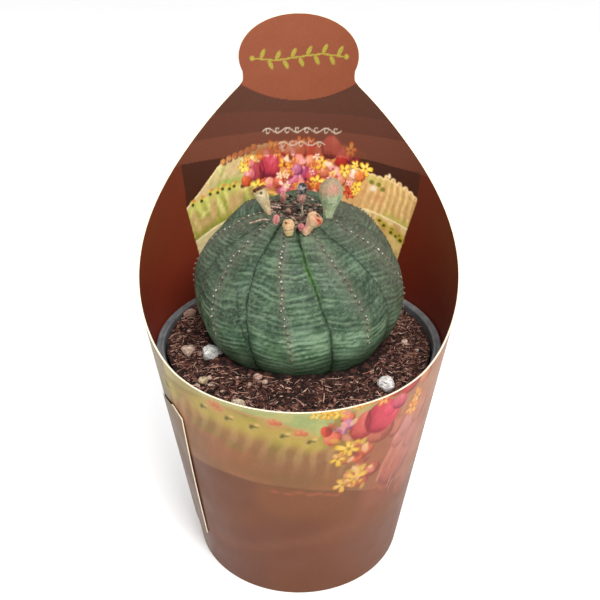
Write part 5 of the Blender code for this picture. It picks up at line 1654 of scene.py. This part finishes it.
    # upper, duller ones first
    for a_, b_, r_, tn, sd in [(0.5, 117.4, 2.4, ORA, 1), (4.7, 117.4, 2.2, ORA, 2), (-10.3, 116.0, 2.5, ORA, 3),
                               (-5.3, 115.6, 2.3, ORA, 4), (-6.9, 113.6, 2.2, RED, 5)]:
        A.star(a_, b_, r_, tn, sd)
    A.bud(4.3, 114.6, 3.0, RED, 6)
    A.bud(0.2, 114.4, 2.6, ((160, 60, 44), (220, 110, 78), (242, 168, 120)), 7)
    A.bud(8.6, 114.2, 2.6, ((160, 56, 46), (214, 96, 76), (236, 146, 116)), 71)
    A.bud(12.6, 115.9, 3.5, ((146, 54, 48), (204, 92, 84), (226, 128, 116)), 8, 1.1, light=(0.3, 0.7))
    A.bud(18.1, 113.3, 3.2, ((160, 52, 50), (208, 92, 88), (232, 134, 126)), 9, 0.9)
    A.star(20.4, 115.6, 2.7, ORA, 10)
    A.bud(17.3, 111.4, 2.5, ((140, 30, 34), (206, 52, 46), (232, 88, 74)), 11, 0.7)
    A.bud(-14.8, 113.6, 1.7, ORA, 73)
    A.bud(-11.6, 113.2, 2.5, ((170, 64, 46), (218, 112, 78), (240, 160, 112)), 74)
    A.star(-18.8, 112.4, 2.3, YEL, 12)
    # bright ones
    A.bud(5.2, 110.8, 2.7, SAL, 13)
    A.bud(0.4, 111.0, 2.3, SAL, 14)
    A.bud(-9.0, 104.2, 2.0, SAL, 75)
    A.bud(-12.8, 105.6, 2.9, ((184, 62, 44), (226, 96, 66), (246, 148, 96)), 15)
    A.bud(-16.6, 108.4, 3.3, ((156, 44, 60), (206, 76, 88), (232, 112, 124)), 16, 1.0, 20)
    A.bud(-11.6, 109.6, 3.6, ((168, 38, 70), (220, 68, 96), (246, 122, 148)), 17, 1.05, -20, (0.1, 1.0))
    A.stroke([(-14.6, 111.6), (-13.9, 108.6), (-14.4, 106.2)], 0.45, (140, 34, 52), 0.7)
    A.bud(13.4, 108.2, 2.2, ((186, 96, 110), (232, 160, 160), (250, 214, 206)), 18)
    A.bud(10.6, 107.8, 1.9, SAL, 19)
    A.bud(2.5, 107.2, 2.5, ((150, 40, 90), (206, 78, 138), (238, 140, 186)), 20)
    A.bud(5.6, 106.4, 2.3, ((180, 50, 70), (230, 96, 100), (250, 150, 140)), 21)
    A.bud(22.7, 107.9, 1.9, ((196, 120, 112), (240, 196, 184), (254, 236, 226)), 22)
    A.bud(-19.8, 107.6, 2.1, ((200, 70, 92), (240, 126, 142), (255, 214, 214)), 23)
    A.bud(-21.4, 105.6, 1.9, ((186, 52, 34), (232, 98, 58), (250, 152, 92)), 24)
    A.bud(-14.3, 104.2, 1.7, RED, 25)
    A.bud(-11.9, 104.4, 1.8, ((220, 110, 104), (246, 168, 156), (255, 214, 196)), 26)
    A.star(-22.4, 110.4, 2.4, YEL, 27)
    A.star(-20.4, 112.0, 2.0, ORA, 28)
    A.star(-5.8, 110.4, 2.9, ((206, 104, 36), (244, 166, 60), (254, 210, 110)), 29)
    A.star(-3.3, 112.0, 2.2, ORA, 30)
    A.star(-3.2, 108.6, 1.9, ORA, 76)
    # the long pink flower tube low on the left
    A.stroke([(-7.4, 101.0), (-5.0, 102.8), (-2.6, 104.4), (-0.2, 106.4)], 2.9, (206, 92, 150), 0.97, 0.25)
    A.stroke([(-7.2, 101.6), (-4.8, 103.4), (-2.2, 105.2), (-0.4, 107.0)], 1.1, (240, 160, 202), 0.85, 0.5)
    A.bud(-8.2, 104.6, 1.8, ((196, 66, 60), (238, 118, 96), (252, 176, 146)), 77)
    A.bud(-0.6, 108.3, 1.9, MAU, 31)
    A.star(9.1, 110.9, 2.6, YEL, 32)
    A.star(18.4, 108.9, 2.7, YEL, 33)
    A.star(27.0, 110.3, 2.6, YEL, 34)
    A.bud(24.8, 107.4, 1.9, ((200, 80, 40), (238, 132, 70), (250, 182, 110)), 35)
    A.star(7.3, 104.5, 2.7, ((220, 150, 40), (250, 214, 70), (255, 242, 130)), 36)
    A.bud(8.8, 102.8, 1.6, ((180, 66, 34), (228, 112, 60), (246, 170, 110)), 37)
    A.star(23.5, 104.0, 2.4, ((214, 132, 36), (248, 200, 62), (255, 232, 120)), 38)
    A.star(20.8, 101.4, 2.4, ((176, 36, 26), (232, 74, 46), (248, 126, 84)), 39)
    A.bud(14.0, 106.0, 1.8, RED, 40)
    A.bud(17.2, 105.4, 1.8, ((186, 88, 70), (236, 150, 120), (252, 206, 180)), 41)
    A.star(-16.9, 103.6, 2.6, ((214, 140, 36), (248, 202, 66), (255, 234, 128)), 42)
    A.stroke([(-13.0, 101.3), (-10.6, 101.0), (-8.8, 99.8)], 0.9, (238, 190, 104), 0.9, 0.4)
    # petals, pistils and highlights too small to place one by one
    g_in = np.random.default_rng(909)
    for i in range(70):
        a_ = 2.0 + 23.5 * (g_in.random() * 2 - 1) * (0.6 + 0.4 * g_in.random())
        hi = 117.6 - 0.010 * (a_ - 2.0) ** 2
        lo = 101.2 + 0.004 * (a_ - 2.0) ** 2
        b_ = lo + (hi - lo) * g_in.random()
        tone = [(255, 226, 170), (255, 236, 220), (252, 190, 196), (240, 130, 150), (246, 150, 110), (190, 46, 58),
                (150, 40, 40), (250, 170, 176)][int(g_in.random() * 8)]
        if min(math.hypot((a_ - q_[0]) * 0.85, b_ - q_[1]) for q_ in ((-11.6, 109.6), (-16.6, 108.4), (12.6, 115.9),
                                                                      (18.1, 113.3), (4.3, 114.6))) < 3.6:
            continue
        rr_ = 0.35 + 0.55 * g_in.random() ** 1.5
        A.dot(a_, b_, rr_ * 1.7, rr_, tone, 0.85, 0.35, 360 * g_in.random())
    for i in range(16):
        a_ = 2.0 + 22.0 * (g_in.random() * 2 - 1)
        hi = 116.6 - 0.012 * (a_ - 2.0) ** 2
        b_ = 102.0 + (hi - 102.0) * g_in.random()
        if math.hypot((a_ + 12.6) * 0.85, b_ - 109.2) < 4.2:
            continue
        A.star(a_, b_, 1.25 + 0.5 * g_in.random(), [YEL, ((224, 150, 130), (252, 214, 190), (255, 240, 226)), ORA,
                                                   ((214, 96, 116), (246, 158, 168), (255, 220, 214))][i % 4], 500 + i)
    drawn = np.clip(np.abs(A.col - ground0).sum(1) / 0.03, 0.0, 1.0) * field
    hot = np.clip(mass, 0, 1)
    gain = np.where(th[:, None] < 0, np.array([1.36, 1.76, 1.90]), np.array([1.62, 1.95, 2.05]))
    gain = mix(gain, np.broadcast_to(np.array([1.34, 1.40, 1.46]), gain.shape), hot)
    up = A.col * gain
    lum = up @ np.array([0.3, 0.6, 0.1])
    up = up * (np.clip(lum / 0.62, 0.05, 1.6) ** 0.42)[:, None]
    up = up * (1.0 + 0.34 * (A.n(1.0, 222, 3) - 0.5))[:, None]
    A.col = mix(A.col, np.clip(up, 0.0, 1.75), drawn)
    # a painted milky reflection of the varnish: lighter brown over everything above the picture
    varnish_sheen_mask = panel * (z < 121.0)
    A.lay(lin(164, 98, 78), 0.34 * varnish_sheen_mask)

    # ---- oval head and its ornament
    ov = 130.9 + 5.3 * np.clip(np.abs(th + 0.3) / 20.0, 0, 1.4) ** 2.1
    A.lay(lin(90, 50, 38), 0.55 * sstep(-0.7, -0.1, z - ov) * (z < 140) * (np.abs(th) < 23))
    A.lay(lin(163, 94, 66), sstep(-0.12, 0.12, z - ov) * (np.abs(th) < 23.5))
    A.lay(lin(172, 104, 74), 0.35 * sstep(0.45, 0.7, A.n(9.0, 213)) * (z > ov))
    leaf = (198, 202, 84)
    A.stroke([(-15.2, 144.0), (-8, 143.2), (0, 144.2), (8, 145.2), (15.4, 144.6)], 0.42, leaf, 1.0, 0.3)
    for i, t0 in enumerate(np.linspace(-13.4, 13.4, 11)):
        zc = float(np.interp(t0, [-15.2, -8, 0, 8, 15.4], [144.0, 143.2, 144.2, 145.2, 144.6]))
        up = 1 if i % 2 == 0 else -1
        A.dot(t0 + 0.9, zc + up * 1.55, 1.55, 0.62, leaf, 1.0, 0.16, 62 * up)
        A.stroke([(t0 + 0.2, zc + up * 0.3), (t0 + 1.7, zc + up * 2.7)], 0.16, (150, 140, 52), 0.7, 0.4)
    for t0, z0 in ((-16.2, 144.1), (16.5, 144.6)):
        A.dot(t0, z0, 0.75, 0.75, leaf, 1.0, 0.2)
    # white scroll in place of words: a fine vine with curled tendrils, two rows
    for t0, t1, zc, amp, pitch in ((-13.6, 16.2, 121.4, 0.75, 3.7), (-7.8, 10.0, 117.0, 0.65, 3.5)):
        xs = np.linspace(t0, t1, 60)
        A.stroke([(float(t), float(zc + amp * math.sin((t - t0) * TAU / (2 * pitch)))) for t in xs], 0.34,
                 (244, 238, 232), 0.95, 0.35)
        for i, tc in enumerate(np.arange(t0 + pitch * 0.5, t1, pitch)):
            up = -1 if i % 2 == 0 else 1
            cc_ = [(tc + 1.25 * math.cos(k) * (0.35 + 0.08 * k), zc + up * 0.25 + up * 1.25 * math.sin(k) * (0.35 + 0.08 * k))
                   for k in np.linspace(0.4, 5.6, 16)]
            A.stroke(cc_, 0.30, (244, 238, 232), 0.95, 0.35)
    A.col = A.col * (1.0 + 0.10 * (A.n(0.6, 214, 2) - 0.5) + 0.07 * (n_big - 0.5))[:, None]
    return A.col


def paint_outside(th, z):
    """th in degrees from the front's middle, + to the right seen from the front."""
    A = Art(th, z)
    n_big, n_mid, n_fine = A.n(24.0, 301), A.n(5.0, 302), A.n(1.1, 303)
    n_big = 0.5 + (n_big - 0.5) * sstep(179.0, 140.0, np.abs(th))      # no step where the card meets itself behind
    arc = A.curve([(-180, 42), (-80, 44.5), (-46.9, 47.4), (-28.3, 48.4), (-15.3, 47.9), (0.5, 47.1), (8.3, 45.9),
                   (18.7, 44.4), (30, 41.5), (60, 38), (180, 34)])
    c = mix(np.broadcast_to(lin(152, 112, 80), (len(th), 3)), lin(180, 148, 94), sstep(58, 68, z))
    c = mix(c, lin(192, 184, 130), sstep(68.5, 74.5, z + 0.05 * th))
    c = mix(c, lin(176, 118, 84), 0.75 * sstep(0.42, 0.60, A.n(8.0, 304)) * sstep(71, 60, z))
    c = mix(c, lin(140, 134, 60), 0.6 * sstep(0.48, 0.66, A.n(6.0, 305, sy=1.6)) * sstep(54, 63, z))
    low = mix(np.broadcast_to(lin(124, 74, 45), (len(th), 3)), lin(138, 90, 56), sstep(10, 46, z))
    low = mix(low, lin(112, 66, 46), 0.6 * sstep(0.45, 0.7, n_big))
    low = mix(low, lin(106, 62, 44), 0.6 * sstep(-26, -60, th))
    A.col = mix(low, c, sstep(-0.25, 0.25, z - arc))
    A.stroke([(-80, 44.5), (-46.9, 47.4), (-28.3, 48.4), (-15.3, 47.9), (0.5, 47.1), (8.3, 45.9), (18.7, 44.4)], 0.9,
             (112, 82, 52), 0.45)
    # shaded folds of the pictured plant
    A.lay(lin(128, 104, 58), 0.5 * np.exp(-((z - arc - 3.4) / 3.0) ** 2) * sstep(-45, -20, th) * (1 - sstep(18, 30, th)))
    A.lay(lin(166, 134, 96), 0.5 * np.exp(-((z - 58.0 - 0.05 * th) / 4.0) ** 2) * sstep(0.4, 0.7, n_mid))
    # pale green flank along the top edge
    edge_low = A.curve([(-40, 75.6), (-24, 73.9), (-18.9, 73.3), (-12.3, 72.4), (-4.6, 70.6), (0.4, 69.0), (6.6, 66.4), (9, 67.5), (12, 71)])
    A.lay(lin(170, 200, 140), 0.9 * sstep(-0.3, 0.5, z - edge_low) * (th < 12) * (th > -36))
    A.lay(lin(206, 214, 146), 0.55 * sstep(0.42, 0.64, A.n(4.2, 331, sy=1.5)) * sstep(-0.3, 0.5, z - edge_low) * (th < 12) * (th > -36))
    A.lay(lin(214, 214, 170), 0.45 * sstep(73.6, 75.0, z) * (th < 20))
    A.stroke([(-24, 73.9), (-18.9, 73.3), (-12.3, 72.4), (-4.6, 70.6), (0.4, 69.0), (6.6, 66.4)], 0.8, (206, 170, 124), 0.75)
    row = A.curve([(-60, 70.3), (-35.3, 71.0), (-25.0, 70.1), (-15.8, 69.1), (-5.1, 67.0), (4.2, 65.0), (14, 62.0)])
    under_row = np.clip(row - z, 0.0, 40.0)
    fan = 0.5 + 0.5 * np.sin((th + 0.30 * under_row + 3.4 * (n_mid - 0.5) + 7.0 * (n_big - 0.5)) * TAU / 6.1)
    fan = fan * (0.55 + 0.9 * A.n(3.0, 321, sy=0.45))
    on_row = sstep(0.0, 1.6, row - z) * (1.0 - sstep(16.0, 25.0, th)) * sstep(-0.4, 0.4, z - arc)
    A.lay(lin(206, 176, 128), 0.50 * sstep(0.30, 1.0, fan) * on_row * np.exp(-(under_row / 10.0) ** 2))
    A.lay(lin(140, 100, 62), 0.22 * sstep(0.46, 0.10, fan) * on_row * np.exp(-(under_row / 9.0) ** 2))
    A.lay(lin(148, 104, 68), 0.40 * on_row * sstep(8.0, 14.0, under_row) * (0.5 + 0.8 * A.n(7.0, 322)))
    A.lay(lin(196, 190, 104), 0.34 * np.exp(-((z - row - 0.4) / 2.6) ** 2) * (1.0 - sstep(9.0, 16.0, th)) * (0.5 + 0.8 * n_mid))
    for a_, b_ in [(-55.5, 70.4), (-35.3, 71.2), (-25.0, 70.1), (-15.8, 69.1), (-5.1, 67.0), (4.2, 65.0)]:
        A.dot(a_, b_ - 0.6, 3.8, 3.0, (206, 204, 96), 0.60, 0.8)
        A.dot(a_, b_ - 0.2, 1.9, 1.3, (196, 178, 116), 0.6, 0.5)
        A.dot(a_ + 0.3, b_ + 0.15, 1.15, 0.42, (120, 122, 42), 0.9, 0.5, -18)
        A.dot(a_ - 0.7, b_ - 0.35, 0.62, 0.55, (96, 100, 32), 0.9, 0.5, 30)
        A.dot(a_ + 1.4, b_ + 0.75, 0.75, 0.5, (236, 214, 150), 0.75, 0.5, 10)
    for a_, b_, k in [(-29.7, 72.7, 0.7), (-8.8, 71.5, 0.9), (0.1, 68.1, 0.95), (-30.7, 73.7, 0.6)]:
        A.dot(a_ + 0.6, b_ - 0.4, 2.6, 1.9, (224, 178, 126), 0.5, 0.8)
        A.bud(a_, b_, 1.25, ((196, 110, 80), (226, 132, 104), (246, 190, 150)), int(abs(a_) * 7), 0.85, -8, k=0.85 * k)
        A.bud(a_ + 1.8, b_ - 0.3, 1.0, ((190, 96, 70), (220, 118, 90), (240, 176, 140)), int(abs(a_) * 9), 0.8, -8, k=0.85 * k)
    for a_, b_ in [(-9.5, 45.4), (-4.0, 44.9), (-0.1, 45.6), (4.5, 44.6), (7.8, 44.9), (11.6, 44.0), (15.2, 43.2)]:
        A.dot(a_, b_, 1.3, 0.55, (190, 108, 84), 0.5, 0.6, -5)
    # faint arcs low down
    A.lay(lin(150, 102, 78), 0.35 * np.exp(-((z - A.curve([(-60, 15), (-29.5, 17.6), (0.5, 24.4), (20.6, 27.5), (41.9, 27), (70, 23)])) / 2.2) ** 2))
    A.lay(lin(122, 78, 60), 0.35 * np.exp(-((z - A.curve([(-60, 8), (0.5, 14.4), (41.9, 19.5), (70, 18)])) / 3.5) ** 2))
    # right side: rosy mass of buds fading into brown
    rosy = sstep(22, 34, th) * (1 - sstep(62, 78, th)) * sstep(26, 44, z)
    A.lay(lin(172, 104, 84), 0.75 * rosy * (0.6 + 0.5 * n_mid))
    A.lay(lin(150, 112, 84), 0.8 * sstep(52, 66, th) * sstep(24, 40, z))
    f_dim = ((140, 66, 52), (180, 100, 78), (206, 134, 104))
    A.bud(52.3, 34.3, 4.0, ((134, 76, 56), (168, 100, 76), (192, 130, 100)), 401, 1.3, -30, k=0.7)
    A.bud(40.0, 40.5, 3.4, ((136, 76, 56), (170, 100, 76), (196, 130, 100)), 402, 1.1, 0, k=0.7)
    A.bud(43.5, 49.0, 6.2, ((150, 84, 78), (186, 114, 104), (220, 158, 144)), 403, 1.5, -24, (-0.9, 0.5), 0.9)
    A.stroke([(33.6, 44.0), (35.4, 50.0), (39.2, 56.6), (46.0, 62.2)], 0.7, (218, 148, 128), 0.8)
    A.bud(50.6, 57.4, 4.0, ((152, 86, 90), (192, 122, 120), (224, 164, 154)), 404, 1.6, -20, (-0.9, 0.5), 0.9)
    A.bud(42.4, 58.6, 3.0, ((156, 88, 92), (200, 130, 130), (232, 176, 170)), 405, 1.5, -22, (-0.9, 0.4))
    A.bud(46.2, 62.0, 3.2, ((158, 94, 110), (202, 142, 152), (232, 186, 188)), 406, 1.5, -20, (-0.9, 0.4))
    A.bud(52.0, 64.6, 3.4, ((140, 84, 70), (190, 130, 104), (216, 168, 136)), 407, 1.5, -15, (-0.9, 0.4))
    A.bud(38.4, 62.8, 2.2, ((150, 84, 76), (196, 122, 108), (222, 160, 140)), 408, 1.6, -14)
    A.stroke([(48.6, 52.0), (51.4, 60.0), (55.2, 68.0)], 0.55, (206, 150, 120), 0.7)
    A.stroke([(56.0, 58.0), (58.2, 68.0), (60.2, 76.0)], 0.9, (196, 148, 104), 0.7)
    A.lay(lin(212, 152, 142), 0.30 * sstep(34, 44, th) * (1 - sstep(66, 82, th)) * sstep(38, 50, z) * (0.5 + n_mid))
    # the red wedge and hot buds along the top edge
    A.bud(42.0, 76.2, 3.6, ((150, 50, 50), (196, 74, 72), (214, 104, 92)), 409, 0.7, 14, k=0.98)
    A.bud(35.6, 76.8, 3.0, ((160, 60, 50), (206, 90, 76), (226, 128, 104)), 410, 0.6, 14)
    A.bud(50.4, 76.4, 2.8, ((160, 90, 60), (214, 140, 96), (236, 184, 136)), 411, 0.8, 20)
    A.bud(30.6, 64.4, 4.6, ((158, 82, 70), (198, 116, 100), (224, 152, 134)), 412, 1.0, 0, k=0.95)
    A.bud(23.6, 68.0, 3.9, ((176, 66, 72), (214, 104, 104), (240, 154, 144)), 413, 1.35, -34, (-0.2, 0.6))
    A.bud(30.6, 69.2, 5.7, ((174, 50, 72), (218, 82, 108), (246, 142, 158)), 414, 1.0, -30, (0.5, 0.7))
    A.bud(33.6, 70.6, 2.2, ((214, 58, 104), (236, 84, 130), (250, 140, 168)), 415, 0.9, k=0.75)
    A.stroke([(24.4, 72.6), (25.4, 69.6), (25.0, 65.4)], 0.6, (132, 40, 52), 0.7)
    A.bud(37.6, 72.0, 2.7, ((160, 60, 92), (216, 104, 136), (236, 150, 168)), 416, 0.9, -10, (-0.2, 1.0))
    A.bud(16.9, 72.0, 1.9, SAL, 417)
    A.bud(17.0, 69.6, 2.0, ((160, 86, 140), (212, 144, 192), (238, 190, 222)), 418, 0.9, 20)
    A.bud(14.4, 67.4, 2.0, ((170, 100, 150), (218, 154, 202), (242, 200, 228)), 419, 0.9, 20)
    A.bud(11.9, 65.4, 2.5, ((186, 80, 62), (232, 126, 104), (248, 170, 140)), 420, 0.9, 20)
    A.bud(9.4, 68.2, 1.5, ((176, 48, 40), (222, 80, 64), (240, 124, 92)), 421, 1.3, 20)
    A.star(9.6, 73.9, 2.3, ((216, 150, 44), (246, 204, 66), (255, 232, 120)), 422)
    A.star(5.6, 74.2, 1.6, ((214, 176, 70), (242, 222, 100), (250, 240, 150)), 423)
    A.star(13.6, 74.2, 2.2, ((220, 160, 40), (248, 218, 72), (255, 240, 130)), 424)
    A.star(20.6, 75.4, 1.9, YEL, 425)
    A.star(24.4, 76.4, 2.2, ((206, 110, 44), (240, 164, 74), (250, 206, 120)), 426)
    A.star(29.8, 75.2, 2.3, ((206, 90, 60), (240, 150, 84), (250, 200, 130)), 427)
    A.star(46.0, 66.8, 3.2, ((206, 112, 60), (240, 172, 84), (252, 212, 126)), 428, 6)
    A.star(47.4, 70.6, 2.8, ((206, 112, 60), (240, 172, 84), (252, 212, 126)), 429, 6)
    A.bud(25.8, 58.6, 2.3, ((176, 84, 62), (214, 122, 92), (240, 170, 130)), 430, 0.9)
    A.bud(22.4, 56.6, 2.1, ((180, 80, 56), (218, 122, 86), (242, 168, 124)), 431, 0.8, 20)
    A.bud(17.6, 56.4, 1.4, ((150, 90, 50), (196, 130, 76), (222, 170, 110)), 432)
    A.star(18.3, 60.6, 4.0, ((196, 150, 40), (238, 206, 72), (255, 236, 130)), 433, 6, turn=20)
    A.star(14.4, 57.6, 3.0, ((196, 150, 46), (234, 202, 76), (250, 230, 130)), 434)
    A.bud(29.4, 50.0, 2.9, ((142, 70, 54), (186, 104, 82), (212, 138, 112)), 435, 0.95)
    A.bud(25.4, 46.4, 2.3, ((146, 76, 52), (186, 112, 78), (210, 144, 108)), 436, 0.8, 10)
    A.star(22.6, 48.4, 4.0, ((186, 130, 46), (228, 184, 80), (246, 214, 120)), 437, 6, turn=40)
    A.star(17.4, 47.0, 2.8, ((186, 130, 46), (226, 184, 84), (244, 214, 124)), 438)
    A.star(24.4, 52.6, 1.9, ((176, 128, 50), (206, 172, 84), (228, 200, 120)), 439)
    g_out = np.random.default_rng(911)
    for i in range(64):
        b_ = 44.5 + 32.0 * g_out.random()
        mid_ = np.interp(b_, [44, 52, 55, 62, 66, 77], [25.0, 23.0, 19.0, 19.0, 15.0, 19.0])
        a_ = mid_ + 6.5 * (g_out.random() * 2 - 1)
        tone = [(246, 214, 110), (250, 222, 176), (236, 160, 150), (220, 120, 100), (196, 92, 84), (150, 62, 60),
                (240, 190, 160), (226, 190, 90)][int(g_out.random() * 8)]
        rr_ = 0.35 + 0.6 * g_out.random() ** 1.5
        if b_ > 63.0 and a_ > 21.0:
            continue
        A.dot(a_, b_, rr_ * 1.8, rr_, tone, 0.62, 0.4, 360 * g_out.random())
    for i in range(60):
        b_ = 34.0 + 44.0 * g_out.random()
        a_ = 52.0 + 14.0 * (g_out.random() * 2 - 1)
        tone = [(214, 160, 140), (196, 128, 108), (150, 84, 74), (226, 180, 150)][int(g_out.random() * 4)]
        A.stroke([(a_, b_), (a_ + 1.6, b_ + 2.0 + 2.5 * g_out.random())], 0.45, tone, 0.45, 0.6)
    # left of the tab the print is a greyer olive
    lf = (1 - sstep(-57, -54.6, th)) * (1 - sstep(100, 130, -th))
    grey = mix(np.broadcast_to(lin(122, 96, 74), (len(th), 3)), lin(142, 132, 96), sstep(44, 70, z))
    A.col = mix(A.col, grey, 0.85 * lf)
    A.dot(-57.5, 70.0, 2.2, 2.6, (176, 178, 84), 0.7, 0.6)
    A.dot(-57.6, 70.2, 0.9, 1.3, (110, 112, 36), 0.85, 0.5, 20)
    # plain brown round the back
    back_c = mix(np.broadcast_to(lin(96, 50, 34), (len(th), 3)), lin(124, 70, 48), sstep(20, 140, z))
    back_c = mix(back_c, lin(104, 56, 40), 0.5 * sstep(0.4, 0.7, n_big))
    A.col = mix(A.col, back_c, sstep(76, 128, np.abs(th) + 6.0 * (n_big - 0.5)))
    A.col = A.col * (1.0 + 0.10 * (A.n(0.6, 314, 2) - 0.5) + 0.08 * (n_big - 0.5))[:, None]
    return A.col


# ------------------------------------------------------------------ the skins
card_mat = mat_print()
CARD_TINT = (0.56, 0.46, 0.37)


def columns(theta_list, z_low, n_low, n_high, z_mid):
    """Grid of (theta, z) with n_low rows up to z_mid and n_high on to the edge."""
    th = np.asarray(theta_list, float)
    top = np.array([CARD_NECK_Z if abs((t + 180) % 360 - 180) <= CARD_NECK_DEG + 1e-6 else edge_z(t) for t in th])
    low = np.linspace(z_low, z_mid, n_low, endpoint=False)
    f = np.linspace(0, 1, n_high)
    Z = np.vstack([np.repeat(low[:, None], len(th), 1), z_mid + (top[None] - z_mid) * f[:, None]])
    return np.broadcast_to(th[None], Z.shape), Z


def skin_patch(pile, TH, Z, out, paint, flip, wave=0.0):
    v = card_xyz(TH, Z, out).reshape(-1, 3)
    pile.add(v, paint(TH.ravel(), Z.ravel()), grid_quads(*TH.shape, flip=flip))


def head_grid(nu, nv):
    u = np.linspace(-1, 1, nu)
    s = np.sin(np.linspace(0, math.pi / 2, nv))
    z = CARD_NECK_Z + (HEAD_Z + HEAD_H - 0.02 - CARD_NECK_Z) * s
    half = np.array([head_half(float(a)) for a in z])
    return u[None] * half[:, None], np.repeat(z[:, None], nu, 1)


inside_front = Pile()
fine = np.concatenate([np.linspace(-58, -CARD_NECK_DEG, 106), np.linspace(-CARD_NECK_DEG, CARD_NECK_DEG, 114)[1:],
                       np.linspace(CARD_NECK_DEG, 58, 106)[1:]])
skin_patch(inside_front, *columns(fine, 0.0, 12, 160, 78.0), IN_OFF, paint_inside, False)
skin_patch(inside_front, *head_grid(114, 90), IN_OFF, paint_inside, False)
wide = np.linspace(58, 302, 164)
THW, ZW = columns(wide, 0.0, 12, 34, 50.0)
skin_patch(inside_front, THW, ZW, IN_OFF, lambda t, z: paint_inside((t + 180) % 360 - 180, z), False)
inside = own(inside_front.build("sleeve_inside", card_mat, tint=CARD_TINT), "printed_card", "card_sleeve")


def outer_paint(t, z):
    """t measured from the back's middle; the front's middle is at 180."""
    front = 180.0 - t                       # + to the right seen from the front
    front = (front + 180.0) % 360.0 - 180.0
    return paint_outside(front, z)


outside_pile = Pile()
skin_patch(outside_pile, *columns(np.linspace(95, 265, 430), 0.0, 14, 112, 38.0), 0.0, outer_paint, True)
for lo_, hi_ in ((CARD_NECK_DEG, 95.0), (265.0, 360.0 - CARD_NECK_DEG)):
    skin_patch(outside_pile, *columns(np.linspace(lo_, hi_, 64), 0.0, 14, 44, 38.0), 0.0, outer_paint, True)
skin_patch(outside_pile, *columns(np.linspace(-CARD_NECK_DEG, CARD_NECK_DEG, 38), 0.0, 14, 44, 38.0), 0.0, outer_paint, True)
skin_patch(outside_pile, *head_grid(38, 34), 0.0, outer_paint, True)
own(outside_pile.build("sleeve_outside", card_mat, tint=CARD_TINT), "printed_card")

# cut edge: a narrow strip all round the outline and round the bottom
line = []
for t in np.linspace(180.0, 360.0 - CARD_NECK_DEG, 420):
    line.append((t, edge_z(t - 360.0)))
hz = CARD_NECK_Z + (HEAD_Z + HEAD_H - 0.02 - CARD_NECK_Z) * np.sin(np.linspace(0, math.pi / 2, 60))
for z in hz[1:]:
    line.append((360.0 - head_half(float(z)), float(z)))
top_half = head_half(float(hz[-1]))
for t in np.linspace(360.0 - top_half, 360.0 + top_half, 8)[1:-1]:
    line.append((t, float(hz[-1])))
for z in hz[::-1][:-1]:
    line.append((360.0 + head_half(float(z)), float(z)))
for t in np.linspace(360.0 + CARD_NECK_DEG, 540.0, 420)[:-1]:
    line.append((t, edge_z(t - 360.0)))
line = np.array(line)
edge_pile = Pile()
edge_rows = []
tang_z = np.gradient(line[:, 1])
for off, lift in ((IN_OFF - 0.012, -0.05), (IN_OFF - 0.004, 0.03), (IN_OFF / 2, 0.05), (0.004, 0.03), (0.012, -0.05)):
    edge_rows.append(card_xyz(line[:, 0], line[:, 1] + lift, off))
ev = np.stack(edge_rows, 0).reshape(-1, 3)
edge_pile.add(ev, lin(206, 190, 158), grid_quads(5, len(line), wrap=True))
bt = np.linspace(0, 360, 360, endpoint=False)
bot = np.stack([card_xyz(bt, 0.0, off) for off in (IN_OFF, 0.0)], 0).reshape(-1, 3)
edge_pile.add(bot, lin(226, 214, 190), grid_quads(2, 360, wrap=True, flip=True))
own(edge_pile.build("sleeve_cut_edge", mat_cut_edge()), "printed_card")

# overlap tab on the outside, its free edge standing off a little
NT, NZ_ = 60, 120
tab_line = np.array([(12.6, -54.0), (39.5, -51.9), (61.1, -49.8), (63.4, -54.9)])
zz = np.linspace(12.6, 63.4, NZ_)
right_edge = np.interp(zz, tab_line[:, 0], tab_line[:, 1])
left_edge = np.full(NZ_, -74.0)
left_edge = np.where(zz > 61.1, np.interp(zz, [61.1, 63.4], [-74.0, -56.4]), left_edge)
u = np.linspace(0, 1, NT)
TT = left_edge[:, None] + (right_edge - left_edge)[:, None] * u[None]
ZZ = np.repeat(zz[:, None], NT, 1)
near_edge = np.exp(-((TT - right_edge[:, None]) / 5.0) ** 2)
LIFT = 0.05 + 0.42 * near_edge * (0.6 + 0.4 * np.sin((ZZ - 12.6) / 50.8 * math.pi))
tab_pile = Pile()
tv = card_xyz(180.0 - TT, ZZ, LIFT + 0.30).reshape(-1, 3)
tc = paint_outside(TT.ravel(), ZZ.ravel())
tab_grey = mix(np.broadcast_to(lin(118, 94, 76), (len(tc), 3)), lin(136, 120, 94), sstep(40, 64, ZZ.ravel()))
tc = mix(tc, tab_grey, np.full(len(tc), 0.8))
tab_pile.add(tv, tc, grid_quads(NZ_, NT, flip=False))
own(tab_pile.build("sleeve_tab", card_mat, tint=CARD_TINT), "printed_card")
tab_edge = Pile()
for edge_t, edge_zs, lf_ in ((right_edge, zz, LIFT[:, -1]),):
    e = np.stack([card_xyz(180.0 - edge_t - 0.0, edge_zs, lf_ + 0.30), card_xyz(180.0 - edge_t, edge_zs, lf_ - 0.08)], 0)
    tab_edge.add(e.reshape(-1, 3), lin(212, 198, 168), grid_quads(2, NZ_))
e = np.stack([card_xyz(180.0 - TT[-1], ZZ[-1], LIFT[-1] + 0.30), card_xyz(180.0 - TT[-1], ZZ[-1], LIFT[-1] - 0.08)], 0)
tab_edge.add(e.reshape(-1, 3), lin(212, 198, 168), grid_quads(2, NT))
e = np.stack([card_xyz(180.0 - TT[0], ZZ[0], LIFT[0] + 0.30), card_xyz(180.0 - TT[0], ZZ[0], 0.0 * LIFT[0])], 0)
tab_edge.add(e.reshape(-1, 3), lin(200, 186, 160), grid_quads(2, NT))
own(tab_edge.build("sleeve_tab_edge", mat_cut_edge()), "printed_card")
